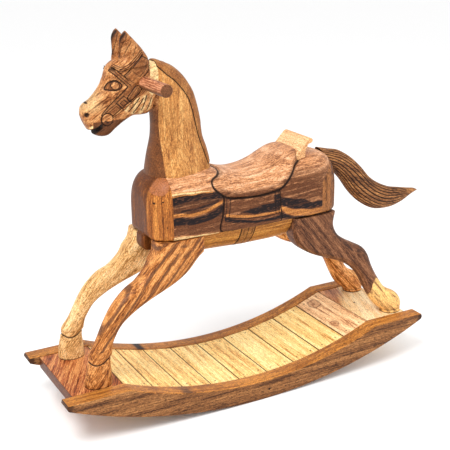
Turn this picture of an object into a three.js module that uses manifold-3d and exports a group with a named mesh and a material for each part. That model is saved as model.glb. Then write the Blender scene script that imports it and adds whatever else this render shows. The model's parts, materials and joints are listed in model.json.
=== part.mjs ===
// A carved wooden rocking horse, head towards -X, standing on a slatted deck between two rockers.
import * as THREE from 'three';
import { mergeVertices } from 'three/addons/utils/BufferGeometryUtils.js';
import Module from 'manifold-3d';

const wasm = await Module();
wasm.setup();

// Sizes of the rocker base, in millimetres.
const deckHeight = 128; // floor to the level ends of the rockers
const tipThickness = 15.74; // left between the rocking curve and a rocker's level ends
const rockerThickness = 44.5;
const rockerFacets = 23; // an odd count leaves a level facet in the middle
const rockerChamfer = 2.5;
const deckWidth = 247; // clear width between the rockers
const tipOverhang = 29; // rocker end beyond the end boards
const tipDrop = 12; // rounding of the rocker's upper end corner
const endBoardLength = 134;
const endBoardThickness = 30;
const valleyDepth = 75; // sag of the slatted deck below its end boards
const plankCount = 9;
const plankThickness = 18;
const plankGap = 1.6;
const boardSet = 2; // deck boards lie this far below the rockers' tops
const glueGap = 0.3; // clearance at every joint that the real maker glued

// Sizes of the horse. Its outlines are drawn at drawnHeight and carried to horseHeight.
const horseHeight = 847; // hoof to ear tip
const drawnHeight = 847;
const frontHoofSetback = 78; // middle of the front hoof behind the deck's front edge
const rearHoofSetback = 31; // middle of the hind hoof before the deck's rear edge
const handleDiameter = 31;
const handleReach = 165; // handle end out from the middle of the head
const saddleLift = 4.5; // carved saddle skirt above the barrel
const blanketLift = 2.2;
const bridleLift = 1.8;
const buckleLift = 3.4;
const maneLift = 2;
const cantleWidth = 122;
const legTopSquare = 5; // squareness where a leg meets the body
const tailFlutes = 15;
const fluteDepth = 0.055; // share of the tail's half thickness

const k = horseHeight / drawnHeight;
const colours = {
  rocker: 0x9a6238, deck: 0xd9b878, endBoard: 0x8a4f32, head: 0xb9773f, neck: 0xc58a4c,
  chest: 0x8d552f, barrel: 0xb07a52, belly: 0xc58f52, rump: 0x9c6a42, cantle: 0xdcb987,
  foreleg: 0xb37440, paleLeg: 0xd5b07c, hindLeg: 0x7f6048, tail: 0x8f6238, handle: 0xa35f38,
};

// Shape helpers.
const signedPower = (value, power) => Math.sign(value) * Math.abs(value) ** power;

function curveThrough(points) {
  return new THREE.CatmullRomCurve3(points.map((p) => new THREE.Vector3(...p)), false, 'catmullrom');
}

function signedVolume(geometry) {
  const position = geometry.getAttribute('position');
  const index = geometry.getIndex();
  const corner = [new THREE.Vector3(), new THREE.Vector3(), new THREE.Vector3()];
  let volume = 0;
  for (let i = 0; i < index.count; i += 3) {
    corner.forEach((c, j) => c.fromBufferAttribute(position, index.getX(i + j)));
    volume += corner[0].dot(corner[1].cross(corner[2])) / 6;
  }
  return volume;
}

// Merges shared corners and turns the faces outwards.
function closed(source) {
  const bare = source.clone();
  bare.deleteAttribute('normal');
  bare.deleteAttribute('uv');
  const geometry = mergeVertices(bare, 1e-3);
  if (signedVolume(geometry) < 0) {
    const index = geometry.getIndex();
    for (let i = 0; i < index.count; i += 3) {
      const first = index.getX(i);
      index.setX(i, index.getX(i + 1));
      index.setX(i + 1, first);
    }
  }
  return geometry;
}

function solid(source) {
  const geometry = closed(source);
  return new wasm.Manifold(new wasm.Mesh({
    numProp: 3,
    vertProperties: new Float32Array(geometry.getAttribute('position').array),
    triVerts: new Uint32Array(geometry.getIndex().array),
  }));
}

function fromSolid(manifold) {
  const mesh = manifold.getMesh();
  const geometry = new THREE.BufferGeometry();
  const corners = new Float32Array(mesh.vertProperties);
  geometry.setAttribute('position', new THREE.BufferAttribute(corners, 3));
  geometry.setIndex(new THREE.BufferAttribute(new Uint32Array(mesh.triVerts), 1));
  geometry.computeVertexNormals();
  return geometry;
}

// A closed cylinder whose rings are laid by place(t, angle, radius), t running from end to end.
function skin(place, sides, rows) {
  const geometry = new THREE.CylinderGeometry(1, 1, 1, sides, rows);
  const position = geometry.getAttribute('position');
  for (let i = 0; i < position.count; i += 1) {
    const [x, y, z] = [position.getX(i), position.getY(i), position.getZ(i)];
    const laid = place(0.5 - y, Math.atan2(z, x), Math.hypot(x, z));
    position.setXYZ(i, laid.x, laid.y, laid.z);
  }
  return geometry;
}

// An extrusion of a side outline across the horse, between y = from and y = to.
function slab(outline, from, to) {
  const shape = outline.isShape
    ? outline : new THREE.Shape(outline.map(([x, z]) => new THREE.Vector2(x, z)));
  const geometry = new THREE.ExtrudeGeometry(shape, {
    depth: to - from, bevelEnabled: false, curveSegments: 6,
  });
  geometry.rotateX(Math.PI / 2);
  geometry.translate(0, to, 0);
  return geometry;
}

// A round outline through a few side points.
function roundOutline(points, divisions = 4) {
  const curve = new THREE.CatmullRomCurve3(points.map(([x, z]) => new THREE.Vector3(x, 0, z)), true);
  return curve.getPoints(points.length * divisions).slice(0, -1).map((p) => [p.x, p.z]);
}

// Places in the figure: x along the horse and height above the deck, as drawn.
const hoofLevel = deckHeight - boardSet + glueGap;
const at = (x, height, y = 0) => [x * k, y * k, hoofLevel + height * k];
const side = (points) => points.map(([x, height]) => [x * k, hoofLevel + height * k]);

// A limb laid on two drawn edges. Each station is [edge a, edge b, middle y, half width].
// Its section is topSquare at the first station and eases to square over squareRun of its length.
const squareRun = 0.35;
function limb(stations, {
  sides = 12, rowsPerStation = 1.5, grow = 0, square = 2.2, topSquare = square, taper = 0, flutes = null,
} = {}) {
  const edgeA = curveThrough(stations.map(([a, , y]) => at(...a, y)));
  const edgeB = curveThrough(stations.map(([, b, y]) => at(...b, y)));
  const width = curveThrough(stations.map((s) => [s[3] * k, 0, 0]));
  const place = (t, angle, radius) => {
    const a = edgeA.getPoint(t);
    const b = edgeB.getPoint(t);
    const half = a.clone().sub(b).multiplyScalar(0.5);
    const spread = half.length();
    half.multiplyScalar((spread + grow) / spread);
    const power = 2 / (topSquare + (square - topSquare) * Math.min(1, t / squareRun));
    const along = signedPower(Math.cos(angle), power);
    const across = signedPower(Math.sin(angle), power) * (1 + taper * along);
    const wave = flutes ? 0.5 + 0.5 * Math.cos(flutes.count * (angle - Math.PI / 2)) : 0;
    const ripple = flutes ? 1 - flutes.depth * wave : 1;
    const laid = a.add(b).multiplyScalar(0.5).addScaledVector(half, along * radius * ripple);
    laid.y += (width.getPoint(t).x + grow) * across * radius * ripple;
    return laid;
  };
  return skin(place, sides, Math.round((stations.length - 1) * rowsPerStation));
}

// The body: sections across it, each [x, half width, top, bottom, squareness of the top].
const wideHeight = 392;
const flatBottom = 14;
function trunk(sections, {
  grow = 0, sides = 28, rowsPerStation = 1, bottomSquare = flatBottom,
} = {}) {
  const sizes = curveThrough(sections.map(
    ([, halfWidth, top, bottom]) => [halfWidth * k, top * k, bottom * k],
  ));
  const stretch = curveThrough(sections.map(([x, , , , square]) => [x * k, square, 0]));
  const place = (t, angle, radius) => {
    const size = sizes.getPoint(t);
    const wide = wideHeight * k;
    const above = Math.sin(angle) > 0;
    const power = 2 / (above ? stretch.getPoint(t).y : bottomSquare);
    const reach = above ? size.y + grow - wide : wide - size.z;
    const y = (size.x + grow) * signedPower(Math.cos(angle), power) * radius;
    const z = hoofLevel + wide + reach * signedPower(Math.sin(angle), power) * radius;
    return new THREE.Vector3(stretch.getPoint(t).x, y, z);
  };
  return skin(place, sides, (sections.length - 1) * rowsPerStation);
}

const mirrored = (stations) => stations.map(([a, b, y, width]) => [a, b, -y, width]);
const leaning = (stations, lean) => stations.map(([a, b, y, width], i) => [
  [a[0] + lean[i], a[1]], [b[0] + lean[i], b[1]], y, width,
]);

// Base: places that follow from the hooves.
const frontHoofX = -428;
const rearHoofX = 475;
const deckFront = frontHoofX * k - frontHoofSetback;
const deckRear = rearHoofX * k + rearHoofSetback;
const baseMiddle = (deckFront + deckRear) / 2;
const rockerHalf = (deckRear - deckFront) / 2 + tipOverhang;
const curveHalf = rockerHalf - tipDrop / 3;
const curveRise = deckHeight - tipThickness;
const rockerRadius = (curveHalf ** 2 + curveRise ** 2) / (2 * curveRise);
const valleyHalf = (deckRear - deckFront) / 2 - endBoardLength;
const valleyRadius = (valleyHalf ** 2 + valleyDepth ** 2) / (2 * valleyDepth);
const valleyCentre = deckHeight - valleyDepth + valleyRadius;

function rockerShape() {
  const shape = new THREE.Shape();
  const sweep = Math.asin(curveHalf / rockerRadius);
  for (let i = 0; i <= rockerFacets; i += 1) {
    const angle = sweep * ((2 * i) / rockerFacets - 1);
    const x = baseMiddle + rockerRadius * Math.sin(angle);
    const z = rockerRadius * (Math.cos(sweep / rockerFacets) - Math.cos(angle));
    if (i === 0) shape.moveTo(x, z);
    else shape.lineTo(x, z);
  }
  shape.lineTo(baseMiddle + rockerHalf, deckHeight - tipDrop * 0.7);
  shape.lineTo(baseMiddle + rockerHalf - tipDrop / 4, deckHeight);
  const valleyAngle = Math.asin(valleyHalf / valleyRadius);
  const level = -Math.PI / 2;
  shape.absarc(baseMiddle, valleyCentre, valleyRadius, level + valleyAngle, level - valleyAngle, true);
  shape.lineTo(baseMiddle - rockerHalf + tipDrop / 4, deckHeight);
  shape.lineTo(baseMiddle - rockerHalf, deckHeight - tipDrop * 0.7);
  return shape;
}

function rocker() {
  const geometry = new THREE.ExtrudeGeometry(rockerShape(), {
    depth: rockerThickness - 2 * rockerChamfer,
    curveSegments: 9,
    bevelThickness: rockerChamfer,
    bevelSize: rockerChamfer,
    bevelOffset: -rockerChamfer,
    bevelSegments: 1,
  });
  geometry.rotateX(Math.PI / 2);
  geometry.translate(0, rockerThickness / 2 - rockerChamfer, 0);
  return closed(geometry);
}

// The deck's joints lie on the valley arc, each board cut along the arc's radius.
function deckJoint(number, depth, shift) {
  const step = (2 * Math.asin(valleyHalf / valleyRadius)) / plankCount;
  const radius = valleyRadius + boardSet + depth;
  const angle = step * (number - plankCount / 2) + shift / radius;
  return [baseMiddle + radius * Math.sin(angle), valleyCentre - radius * Math.cos(angle)];
}

const boardHalf = deckWidth / 2 - glueGap;
function plank(number) {
  const gap = plankGap / 2;
  return closed(slab([
    deckJoint(number, 0, gap), deckJoint(number, plankThickness, gap),
    deckJoint(number + 1, plankThickness, -gap), deckJoint(number + 1, 0, -gap),
  ], -boardHalf, boardHalf));
}

function endBoard(joint, edge, gap) {
  const top = deckHeight - boardSet;
  const [x, z] = deckJoint(joint, 0, gap);
  const [lowX, lowZ] = deckJoint(joint, endBoardThickness, gap);
  const low = top - endBoardThickness;
  const reach = (x - lowX) * ((top - low) / (z - lowZ));
  return closed(slab([[edge, top], [edge, low], [x - reach, low], [x, top]], -boardHalf, boardHalf));
}

// Drawn outlines of the horse, heights above the deck.
const forelegStations = [
  [[-254, 332], [-124, 332], -61, 36], [[-263, 306], [-127, 297], -61, 36],
  [[-279, 288], [-150, 276], -62, 35], [[-293, 265], [-183, 241], -64, 34],
  [[-321, 241], [-226, 214], -68, 32], [[-353, 224], [-290, 188], -73, 30],
  [[-384, 194], [-333, 166], -78, 27], [[-407, 157], [-364, 142], -83, 24],
  [[-430, 111], [-385, 107], -88, 22], [[-449, 83], [-391, 82], -92, 24],
  [[-451, 68], [-397, 66], -93, 22], [[-459, 34], [-395, 32], -94, 26],
  [[-462, 0], [-394, 0], -94, 29],
];
const hindLegStations = [
  [[146, 330], [284, 330], -57, 38], [[147, 294], [277, 294], -58, 38], [[161, 251], [290, 262], -60, 37],
  [[198, 221], [316, 240], -64, 35], [[247, 199], [345, 224], -69, 32], [[297, 179], [371, 209], -74, 30],
  [[335, 155], [387, 189], -78, 28], [[362, 124], [401, 154], -81, 25], [[383, 83], [420, 118], -84, 23],
  [[405, 45], [447, 79], -87, 22], [[428, 20], [488, 54], -89, 25], [[442, 8], [504, 29], -90, 27],
  [[446, 0], [503, 0], -91, 28],
];
// The left legs are carved further back than the right ones, station by station.
const forelegLean = [8, 14, 17, 18, 17, 16, 12, 8, 5, 4, 4, 3, 1];
const hindLegLean = [0, 2, 4, 6, 6, 6, 5, 4, 4, 4, 3, 3, 2];
const tailStations = [
  [[276, 491], [312, 427], 0, 26], [[312, 482], [325, 420], 0, 27], [[345, 474], [342, 402], 0, 28],
  [[383, 451], [358, 383], 0, 28], [[419, 419], [379, 354], 0, 28], [[452, 383], [401, 330], 0, 28],
  [[485, 360], [430, 306], 0, 27], [[525, 342], [470, 285], 0, 25], [[560, 334], [520, 280], 0, 21],
  [[595, 327], [562, 288], 0, 15], [[618, 323], [598, 304], 0, 9], [[631, 317], [629, 314], 0, 2],
];
const neckStations = [
  [[-234, 462], [-58, 462], 0, 68], [[-232, 493], [-60, 493], 0, 65], [[-226, 534], [-68, 534], 0, 55],
  [[-216, 578], [-81, 574], 0, 47], [[-214, 614], [-85, 613], 0, 42], [[-216, 645], [-94, 656], 0, 39],
  [[-222, 680], [-107, 693], 0, 37], [[-228, 712], [-130, 726], 0, 36], [[-238, 738], [-161, 753], 0, 34],
  [[-248, 752], [-201, 771], 0, 30],
];
const headStations = [
  [[-398, 660], [-388, 632], 0, 11], [[-394, 676], [-377, 615], 0, 21], [[-386, 684], [-357, 602], 0, 26],
  [[-371, 693], [-333, 601], 0, 27], [[-353, 711], [-312, 616], 0, 28], [[-341, 727], [-290, 631], 0, 33],
  [[-332, 744], [-268, 642], 0, 40], [[-323, 765], [-245, 642], 0, 44], [[-302, 780], [-226, 646], 0, 45],
  [[-262, 788], [-212, 668], 0, 42], [[-228, 776], [-205, 700], 0, 34],
];
const earStations = [
  [[-303, 760], [-226, 768], -22, 23], [[-301, 785], [-231, 784], -23, 22],
  [[-300, 812], [-247, 806], -25, 19], [[-298, 830], [-262, 823], -26, 14],
  [[-292, 842], [-276, 838], -27, 8], [[-286, 848], [-284, 847], -27, 2],
];
// Carving on the head, seen from the side and cut alike on both cheeks.
const cheekStrapEnd = [[-352, 656], [-340, 639]];
const bridle = [
  [[-283, 755], [-257, 731], [-231, 757], [-230, 776], [-252, 787]],
  [[-325, 757], [-318, 762], [-277, 722], [-284, 714]],
  [[-257, 731], [-268, 742], [-292, 716], ...cheekStrapEnd, [-322, 655], [-262, 706], [-246, 722]],
];
const buckleRim = [[-302, 698], [-283, 682], [-299, 664], [-318, 682]];
const buckleSlot = [[-301, 690], [-291, 681], [-300, 672], [-310, 681]];
const bitRadius = 14; // boss over the end of the cheek strap
const bitSetback = 5;
const forelock = [
  [-326, 784], [-315, 767], [-302, 760], [-287, 760], [-270, 769], [-251, 792], [-285, 802],
];
const eye = [[-341, 719], [-331, 730], [-318, 733], [-307, 724], [-320, 716]];
const eyeLift = 2.5;
const mouth = [[-396, 600], [-380, 620], [-364, 626], [-346, 641], [-352, 624], [-366, 613], [-376, 600]];
const nostril = { x: -388, height: 659, y: 24, radius: 6 };
const maneGroove = [
  [-205, 760], [-180, 735], [-164, 722], [-148, 705], [-133, 684], [-122, 661], [-112, 617], [-105, 588],
  [-94, 556], [-77, 506],
];
const earHollow = { x: -302, height: 800, y: 46, radius: [26, 22, 34] };
const bodyFloor = 332; // underside of the chest, barrel and rump
const bodySections = [
  [-258, 42, 440, 350, 2.6], [-254, 58, 460, 340, 2.7], [-245, 72, 476, 334, 2.9],
  [-228, 86, 488, bodyFloor, 3.3], [-207, 94, 493, bodyFloor, 3.6], [-165, 97, 494, bodyFloor, 4],
  [-120, 98, 494, bodyFloor, 4], [-80, 98, 491, bodyFloor, 3.6], [-50, 98, 484, bodyFloor, 3],
  [-15, 98, 475, bodyFloor, 2.6], [20, 98, 471, bodyFloor, 2.5], [60, 98, 471, bodyFloor, 2.5],
  [100, 98, 476, bodyFloor, 2.8], [160, 98, 486, bodyFloor, 3.6], [200, 97, 491, bodyFloor, 4],
  [232, 95, 492, bodyFloor, 3.8], [262, 88, 489, bodyFloor, 3], [284, 74, 478, 334, 2.6],
  [297, 54, 460, 340, 2.4],
];
const saddleSections = [
  [-120, 98, 496, bodyFloor, 3], [-70, 98, 491, bodyFloor, 3], [-40, 98, 479, bodyFloor, 2.8],
  [-10, 98, 471, bodyFloor, 2.6], [20, 98, 469, bodyFloor, 2.5], [60, 98, 474, bodyFloor, 2.5],
  [95, 98, 485, bodyFloor, 2.6], [125, 98, 496, bodyFloor, 3], [155, 98, 504, bodyFloor, 3.6],
  [190, 98, 508, bodyFloor, 4],
];
const bellySections = [
  [-123, 94, 392, 268, 3], [-60, 95, 392, 266, 3], [20, 95, 392, 263, 3], [90, 95, 392, 263, 3],
  [145, 94, 392, 265, 3],
];
const saddleOutline = (gap) => roundOutline([
  [-60 - 2 * gap, 530], [-58 - 2 * gap, 494], [-43, 484], [-70, 476], [-91, 470], [-93, 459], [-84, 446],
  [-60, 428], [-30, 421], [30, 417], [80, 421], [106, 428], [130, 448], [154, 474], [182, 492], [182, 530],
], 2);
const blanketOutline = [
  [-70, 440], [-66, 424], [-70, 381], [-77, 343], [-47, 335], [-10, 333.5], [40, 333.5], [76, 336],
  [101, 340], [98, 380], [95, 440],
];
const cantleProfile = [
  [168, 470], [168, 494], [176, 503], [196, 524], [206, 534], [214, 537], [221, 533], [222, 526],
  [216, 522], [209, 521], [203, 512], [199, 502], [198, 470],
];
const chestJoint = -207;
const rumpJoint = 232;
const bellyFront = -123;
const bellyRear = 145;
const rumpSlant = [[232, 422], [276, 474]]; // upper edge of the rump block
const headJoint = -207; // upright board joint down the neck
const tailSeat = [[276, 491], [312, 427]];

// Half spaces as big slabs, for cutting along the drawn joints.
const far = 1500;
const wide = 400;
const cutter = (points) => solid(slab(side(points), -wide, wide));

const trunkSolid = solid(trunk(bodySections));
const saddle = (gap) => solid(trunk(saddleSections, { grow: saddleLift + gap }))
  .intersect(cutter(saddleOutline(gap)));
const blanketPatch = solid(trunk(bodySections, { grow: blanketLift })).intersect(cutter(blanketOutline));
const bodyClearance = solid(trunk(bodySections, { grow: glueGap })).add(saddle(glueGap));

// The tail is glued on a slanted flat that is planed on the rump.
const seatSlope = (tailSeat[1][0] - tailSeat[0][0]) / (tailSeat[1][1] - tailSeat[0][1]);
const seatX = (height) => tailSeat[0][0] + seatSlope * (height - tailSeat[0][1]);
const behindSeat = (gap) => cutter([
  [seatX(600) - gap, 600], [seatX(430) - gap, 430], [far, 430], [far, 600],
]);
const body = trunkSolid.add(saddle(0)).add(blanketPatch).subtract(behindSeat(glueGap));

const gapHalf = glueGap / 2;
const rumpSide = (gap) => cutter([
  [rumpJoint + gap, 0], [rumpJoint + gap, rumpSlant[0][1] - gap],
  [rumpSlant[1][0], rumpSlant[1][1] - 2 * gap], [far, rumpSlant[1][1] - 2 * gap], [far, 0],
]);
const chestSide = (gap) => cutter([
  [-far, 0], [chestJoint - gap, 0], [chestJoint - gap, far], [-far, far],
]);

const keelHalf = 21;
const keelOutline = [[-260, 340], [-262, 312], [-254, 296], [-232, 292], [-214, 300], [-210, 340]];
const keel = solid(slab(side(keelOutline), -keelHalf * k, keelHalf * k));
const chestBlock = body.intersect(chestSide(gapHalf)).add(keel);
const rumpBlock = body.intersect(rumpSide(gapHalf));
const barrel = body.subtract(chestSide(-gapHalf)).subtract(rumpSide(-gapHalf));

const bellyBlank = solid(trunk(bellySections, { bottomSquare: 2.1 }));
const bellyBoard = bellyBlank.intersect(cutter([
  [bellyFront, 0], [bellyRear, 0], [bellyRear, bodyFloor - glueGap], [bellyFront, bodyFloor - glueGap],
]));

const underBody = cutter([
  [-far, -20], [-far, bodyFloor - glueGap], [far, bodyFloor - glueGap], [far, -20],
]);
const besideBelly = cutter([
  [bellyFront - glueGap, 0], [bellyRear + glueGap, 0],
  [bellyRear + glueGap, far], [bellyFront - glueGap, far],
]);
const leg = (stations) => solid(limb(stations, { topSquare: legTopSquare }))
  .intersect(underBody).subtract(besideBelly);

// Head and neck are carved together from two boards, joined down the neck.
const neckSolid = solid(limb(neckStations, { sides: 20, taper: 0.22 }));
const neckGrown = solid(limb(neckStations, { sides: 20, taper: 0.22, grow: maneLift }));
const mane = neckGrown.intersect(cutter([...maneGroove, [-20, 506], [-20, 820], [-205, 820]]));
const headLoft = (grow) => solid(limb(headStations, { sides: 18, square: 2.5, grow }));
const ear = (stations) => solid(limb(stations, { sides: 10, rowsPerStation: 1 }));
const bothSides = (shape, { x, height, y }) => [-1, 1].map((way) => {
  const geometry = shape.clone();
  geometry.translate(...at(x, height, way * y));
  return solid(geometry);
});
const hollow = new THREE.SphereGeometry(k, 10, 8).scale(...earHollow.radius);
const ears = bothSides(hollow, earHollow).reduce(
  (rest, cut) => rest.subtract(cut), ear(earStations).add(ear(mirrored(earStations))),
);
const bitX = (cheekStrapEnd[0][0] + cheekStrapEnd[1][0]) / 2 + bitSetback;
const bitHeight = (cheekStrapEnd[0][1] + cheekStrapEnd[1][1]) / 2;
const boss = new THREE.CylinderGeometry(bitRadius * k, bitRadius * k, 2 * wide, 12);
const [bitDisc] = bothSides(boss, { x: bitX, height: bitHeight, y: 0 });
const straps = bridle.map(cutter).reduce((all, strap) => all.add(strap));
const proud = cutter(buckleRim).add(bitDisc).add(cutter(forelock));
const headSolid = headLoft(0)
  .add(headLoft(bridleLift).intersect(straps))
  .add(headLoft(buckleLift).intersect(proud))
  .add(headLoft(eyeLift).intersect(cutter(eye)))
  .subtract(cutter(buckleSlot).subtract(headLoft(bridleLift / 2)))
  .subtract(cutter(mouth));
const nostrilBall = new THREE.SphereGeometry(nostril.radius * k, 8, 6);
const bust = bothSides(nostrilBall, nostril).reduce(
  (rest, cut) => rest.subtract(cut), neckSolid.add(mane).add(headSolid).add(ears),
);
const headSide = (gap) => cutter([[-far, 0], [headJoint + gap, 0], [headJoint + gap, far], [-far, far]]);
const handleAxis = at(-247, 724);
function dowel(radius) {
  const geometry = new THREE.CylinderGeometry(radius, radius, 2 * handleReach, 16);
  geometry.translate(...handleAxis);
  return geometry;
}
const bored = bust.subtract(solid(dowel(handleDiameter / 2 + glueGap)));
const onBody = bored.subtract(bodyClearance);
const head = onBody.intersect(headSide(-gapHalf));
const neck = onBody.subtract(headSide(gapHalf));

const cantleHalf = (cantleWidth / 2) * k;
const cantle = solid(slab(side(cantleProfile), -cantleHalf, cantleHalf))
  .subtract(bodyClearance);

const tail = limb(tailStations, {
  sides: tailFlutes * 2, rowsPerStation: 1, flutes: { count: tailFlutes, depth: fluteDepth },
});

// Each piece is a named mesh with its own finish.
const horse = new THREE.Group();
function piece(name, geometry, colour, y = 0) {
  const material = new THREE.MeshStandardMaterial({ color: colour, roughness: 0.5, metalness: 0 });
  const mesh = new THREE.Mesh(geometry, material);
  mesh.name = name;
  mesh.position.y = y;
  horse.add(mesh);
}

const rockerY = (deckWidth + rockerThickness) / 2;
piece('rocker_left', rocker(), colours.rocker, -rockerY);
piece('rocker_right', rocker(), colours.rocker, rockerY);
for (let number = 0; number < plankCount; number += 1) {
  piece(`deck_plank_${number + 1}`, plank(number), colours.deck);
}
piece('front_board', endBoard(0, deckFront, -plankGap / 2), colours.endBoard);
piece('rear_board', endBoard(plankCount, deckRear, plankGap / 2), colours.endBoard);
piece('chest_block', fromSolid(chestBlock), colours.chest);
piece('barrel', fromSolid(barrel), colours.barrel);
piece('rump_block', fromSolid(rumpBlock), colours.rump);
piece('belly_board', fromSolid(bellyBoard), colours.belly);
piece('saddle_cantle', fromSolid(cantle), colours.cantle);
piece('foreleg_left', fromSolid(leg(leaning(forelegStations, forelegLean))), colours.foreleg);
piece('foreleg_right', fromSolid(leg(mirrored(forelegStations))), colours.paleLeg);
piece('hind_leg_left', fromSolid(leg(leaning(hindLegStations, hindLegLean))), colours.hindLeg);
piece('hind_leg_right', fromSolid(leg(mirrored(hindLegStations))), colours.foreleg);
piece('head', fromSolid(head), colours.head);
piece('neck', fromSolid(neck), colours.neck);
piece('handle', closed(dowel(handleDiameter / 2)), colours.handle);
piece('tail', closed(tail), colours.tail);

// The origin lies on the floor under the middle of the whole piece.
const box = new THREE.Box3().setFromObject(horse);
horse.position.set(-(box.min.x + box.max.x) / 2, 0, -box.min.z);

export default horse;
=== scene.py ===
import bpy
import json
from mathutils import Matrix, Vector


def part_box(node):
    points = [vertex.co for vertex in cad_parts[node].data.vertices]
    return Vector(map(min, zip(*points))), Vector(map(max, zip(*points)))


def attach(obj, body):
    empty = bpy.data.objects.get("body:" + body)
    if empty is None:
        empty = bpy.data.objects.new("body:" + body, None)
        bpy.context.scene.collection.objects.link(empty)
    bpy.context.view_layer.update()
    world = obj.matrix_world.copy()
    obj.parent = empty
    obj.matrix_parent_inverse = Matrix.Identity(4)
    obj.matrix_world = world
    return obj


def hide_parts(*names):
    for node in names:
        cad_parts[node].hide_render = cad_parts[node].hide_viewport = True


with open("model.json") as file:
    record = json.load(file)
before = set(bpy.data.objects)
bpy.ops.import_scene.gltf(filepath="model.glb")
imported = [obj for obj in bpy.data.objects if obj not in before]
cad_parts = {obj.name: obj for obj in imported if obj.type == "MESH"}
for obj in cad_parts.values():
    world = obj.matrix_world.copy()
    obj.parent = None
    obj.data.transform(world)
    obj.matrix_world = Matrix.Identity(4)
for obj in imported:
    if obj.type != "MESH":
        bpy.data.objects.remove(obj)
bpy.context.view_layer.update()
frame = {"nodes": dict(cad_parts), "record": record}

# %% [markdown]
# Everything else needs only Blender and numpy. The horse is drawn in millimetres as a side view:
# x along the body, y across it and a height above the deck. One function carries such points into
# the frame, and one brings them back, so that carving can be thought of on the drawing.
# %% Units
import json
import math

import bmesh
import bpy
import numpy as np
from mathutils import Matrix, Vector

scene = bpy.context.scene
MM = 0.001
HOOF_LEVEL = 126.3
DRAWING_MIDDLE = 48.0


def placed(points):
    shift = np.array([-DRAWING_MIDDLE, 0.0, HOOF_LEVEL])
    return (np.asarray(points, float) + shift) * MM


def drawn(points):
    shift = np.array([DRAWING_MIDDLE, 0.0, -HOOF_LEVEL])
    return np.asarray(points, float) / MM + shift


# %% [markdown]
# The camera comes first, because every later choice is judged through it. A long lens stands about
# two and a half metres off the horse's left front quarter and looks about 19 degrees down. Its axes
# are written as a rotation matrix, so no tracking or constraint is needed.
# %% Camera
CAMERA_PLACE = Vector((-1.2176, -2.1284, 1.2609))
AXIS_RIGHT = Vector((0.87648, -0.48129, -0.01276))
AXIS_UP = Vector((0.16461, 0.27466, 0.94737))
LENS, SENSOR = 77.29, 36
camera_data = bpy.data.cameras.new("camera")
camera_data.lens = LENS
camera_data.sensor_width = SENSOR
camera = bpy.data.objects.new("camera", camera_data)
axis_back = AXIS_RIGHT.cross(AXIS_UP)
turn = Matrix((AXIS_RIGHT, AXIS_UP, axis_back)).transposed().to_4x4()
camera.matrix_world = Matrix.Translation(CAMERA_PLACE) @ turn
scene.collection.objects.link(camera)
scene.camera = camera
print("camera looks along", [round(-c, 3) for c in axis_back])

# %% [markdown]
# A drawn limb is two edge lines, a middle and a half width at each station. Smooth curves run
# through the stations, the same Catmull-Rom curves that the solids were laid on, so the fine mesh
# keeps the solid's form while it has many times as many rings. A limb that starts with square
# corners eases into its round shank over the first third of its length.
# %% Curves and rings
def curve(points, t):
    p = np.asarray(points, float)
    spans = np.clip(t, 0, 1) * (len(p) - 1)
    i = np.minimum(spans.astype(int), len(p) - 2)
    w = (spans - i)[:, None]
    q = np.vstack([2 * p[0] - p[1], p, 2 * p[-1] - p[-2]])
    a, b, c, d = q[i], q[i + 1], q[i + 2], q[i + 3]
    tangent_b, tangent_c = (c - a) / 2, (d - b) / 2
    return (2 * b - 2 * c + tangent_b + tangent_c) * w**3 + (
        3 * c - 3 * b - 2 * tangent_b - tangent_c
    ) * w**2 + tangent_b * w + b


def power(value, exponent):
    return np.sign(value) * np.abs(value) ** exponent


def turns(sides, start=0.0):
    """Angles once round, evenly spaced."""
    return np.linspace(start, start + 2 * np.pi, sides, endpoint=False)


SQUARE_RUN = 0.35


def limb(stations, rows, sides, square=2.2, top_square=None, taper=0.0, ripple=None):
    t = np.linspace(0, 1, rows)
    ease = np.minimum(1, t / SQUARE_RUN)[:, None]
    corner = square if top_square is None else top_square + (square - top_square) * ease
    edge_a = curve([[a[0], y, a[1]] for a, b, y, w in stations], t)[:, None]
    edge_b = curve([[b[0], y, b[1]] for a, b, y, w in stations], t)[:, None]
    width = curve([[w] for a, b, y, w in stations], t)
    angle = turns(sides)[None]
    along = power(np.cos(angle), 2 / corner)
    across = power(np.sin(angle), 2 / corner) * (1 + taper * along)
    size = np.ones((rows, sides)) if ripple is None else ripple(t[:, None], angle)
    ring = (edge_a + edge_b) / 2 + (edge_a - edge_b) / 2 * (along * size)[..., None]
    ring[..., 1] += width * across * size
    return ring


print("a curve's middle", curve([[0, 0], [1, 0], [2, 1]], np.array([0.5])))

# %% [markdown]
# Rings become a closed skin of quads with a flat cap at each end. Several skins can go into one
# mesh. Normals are made to point outwards, and only sharp corners keep a hard shade.
# %% Skins to objects
def skin(rings):
    rows, sides = rings.shape[:2]
    r, s = np.meshgrid(np.arange(rows - 1), np.arange(sides), indexing="ij")
    here, next_one = r * sides + s, r * sides + (s + 1) % sides
    quads = np.stack([here, next_one, next_one + sides, here + sides], -1).reshape(-1, 4)
    caps = [list(range(sides))[::-1], list(range((rows - 1) * sides, rows * sides))]
    return rings.reshape(-1, 3), quads.tolist() + caps


def finish_mesh(mesh, sharp=40):
    work = bmesh.new()
    work.from_mesh(mesh)
    bmesh.ops.recalc_face_normals(work, faces=work.faces)
    work.to_mesh(mesh)
    work.free()
    mesh.shade_smooth()
    mesh.set_sharp_from_angle(angle=math.radians(sharp))


def piece(name, *skins, sharp=40):
    points, faces = [], []
    for skin_points, skin_faces in skins:
        faces += [[i + len(points) for i in face] for face in skin_faces]
        points += placed(skin_points).tolist()
    mesh = bpy.data.meshes.new(name)
    mesh.from_pydata(points, [], faces)
    finish_mesh(mesh, sharp)
    made = bpy.data.objects.new(name, mesh)
    scene.collection.objects.link(made)
    return made


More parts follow.
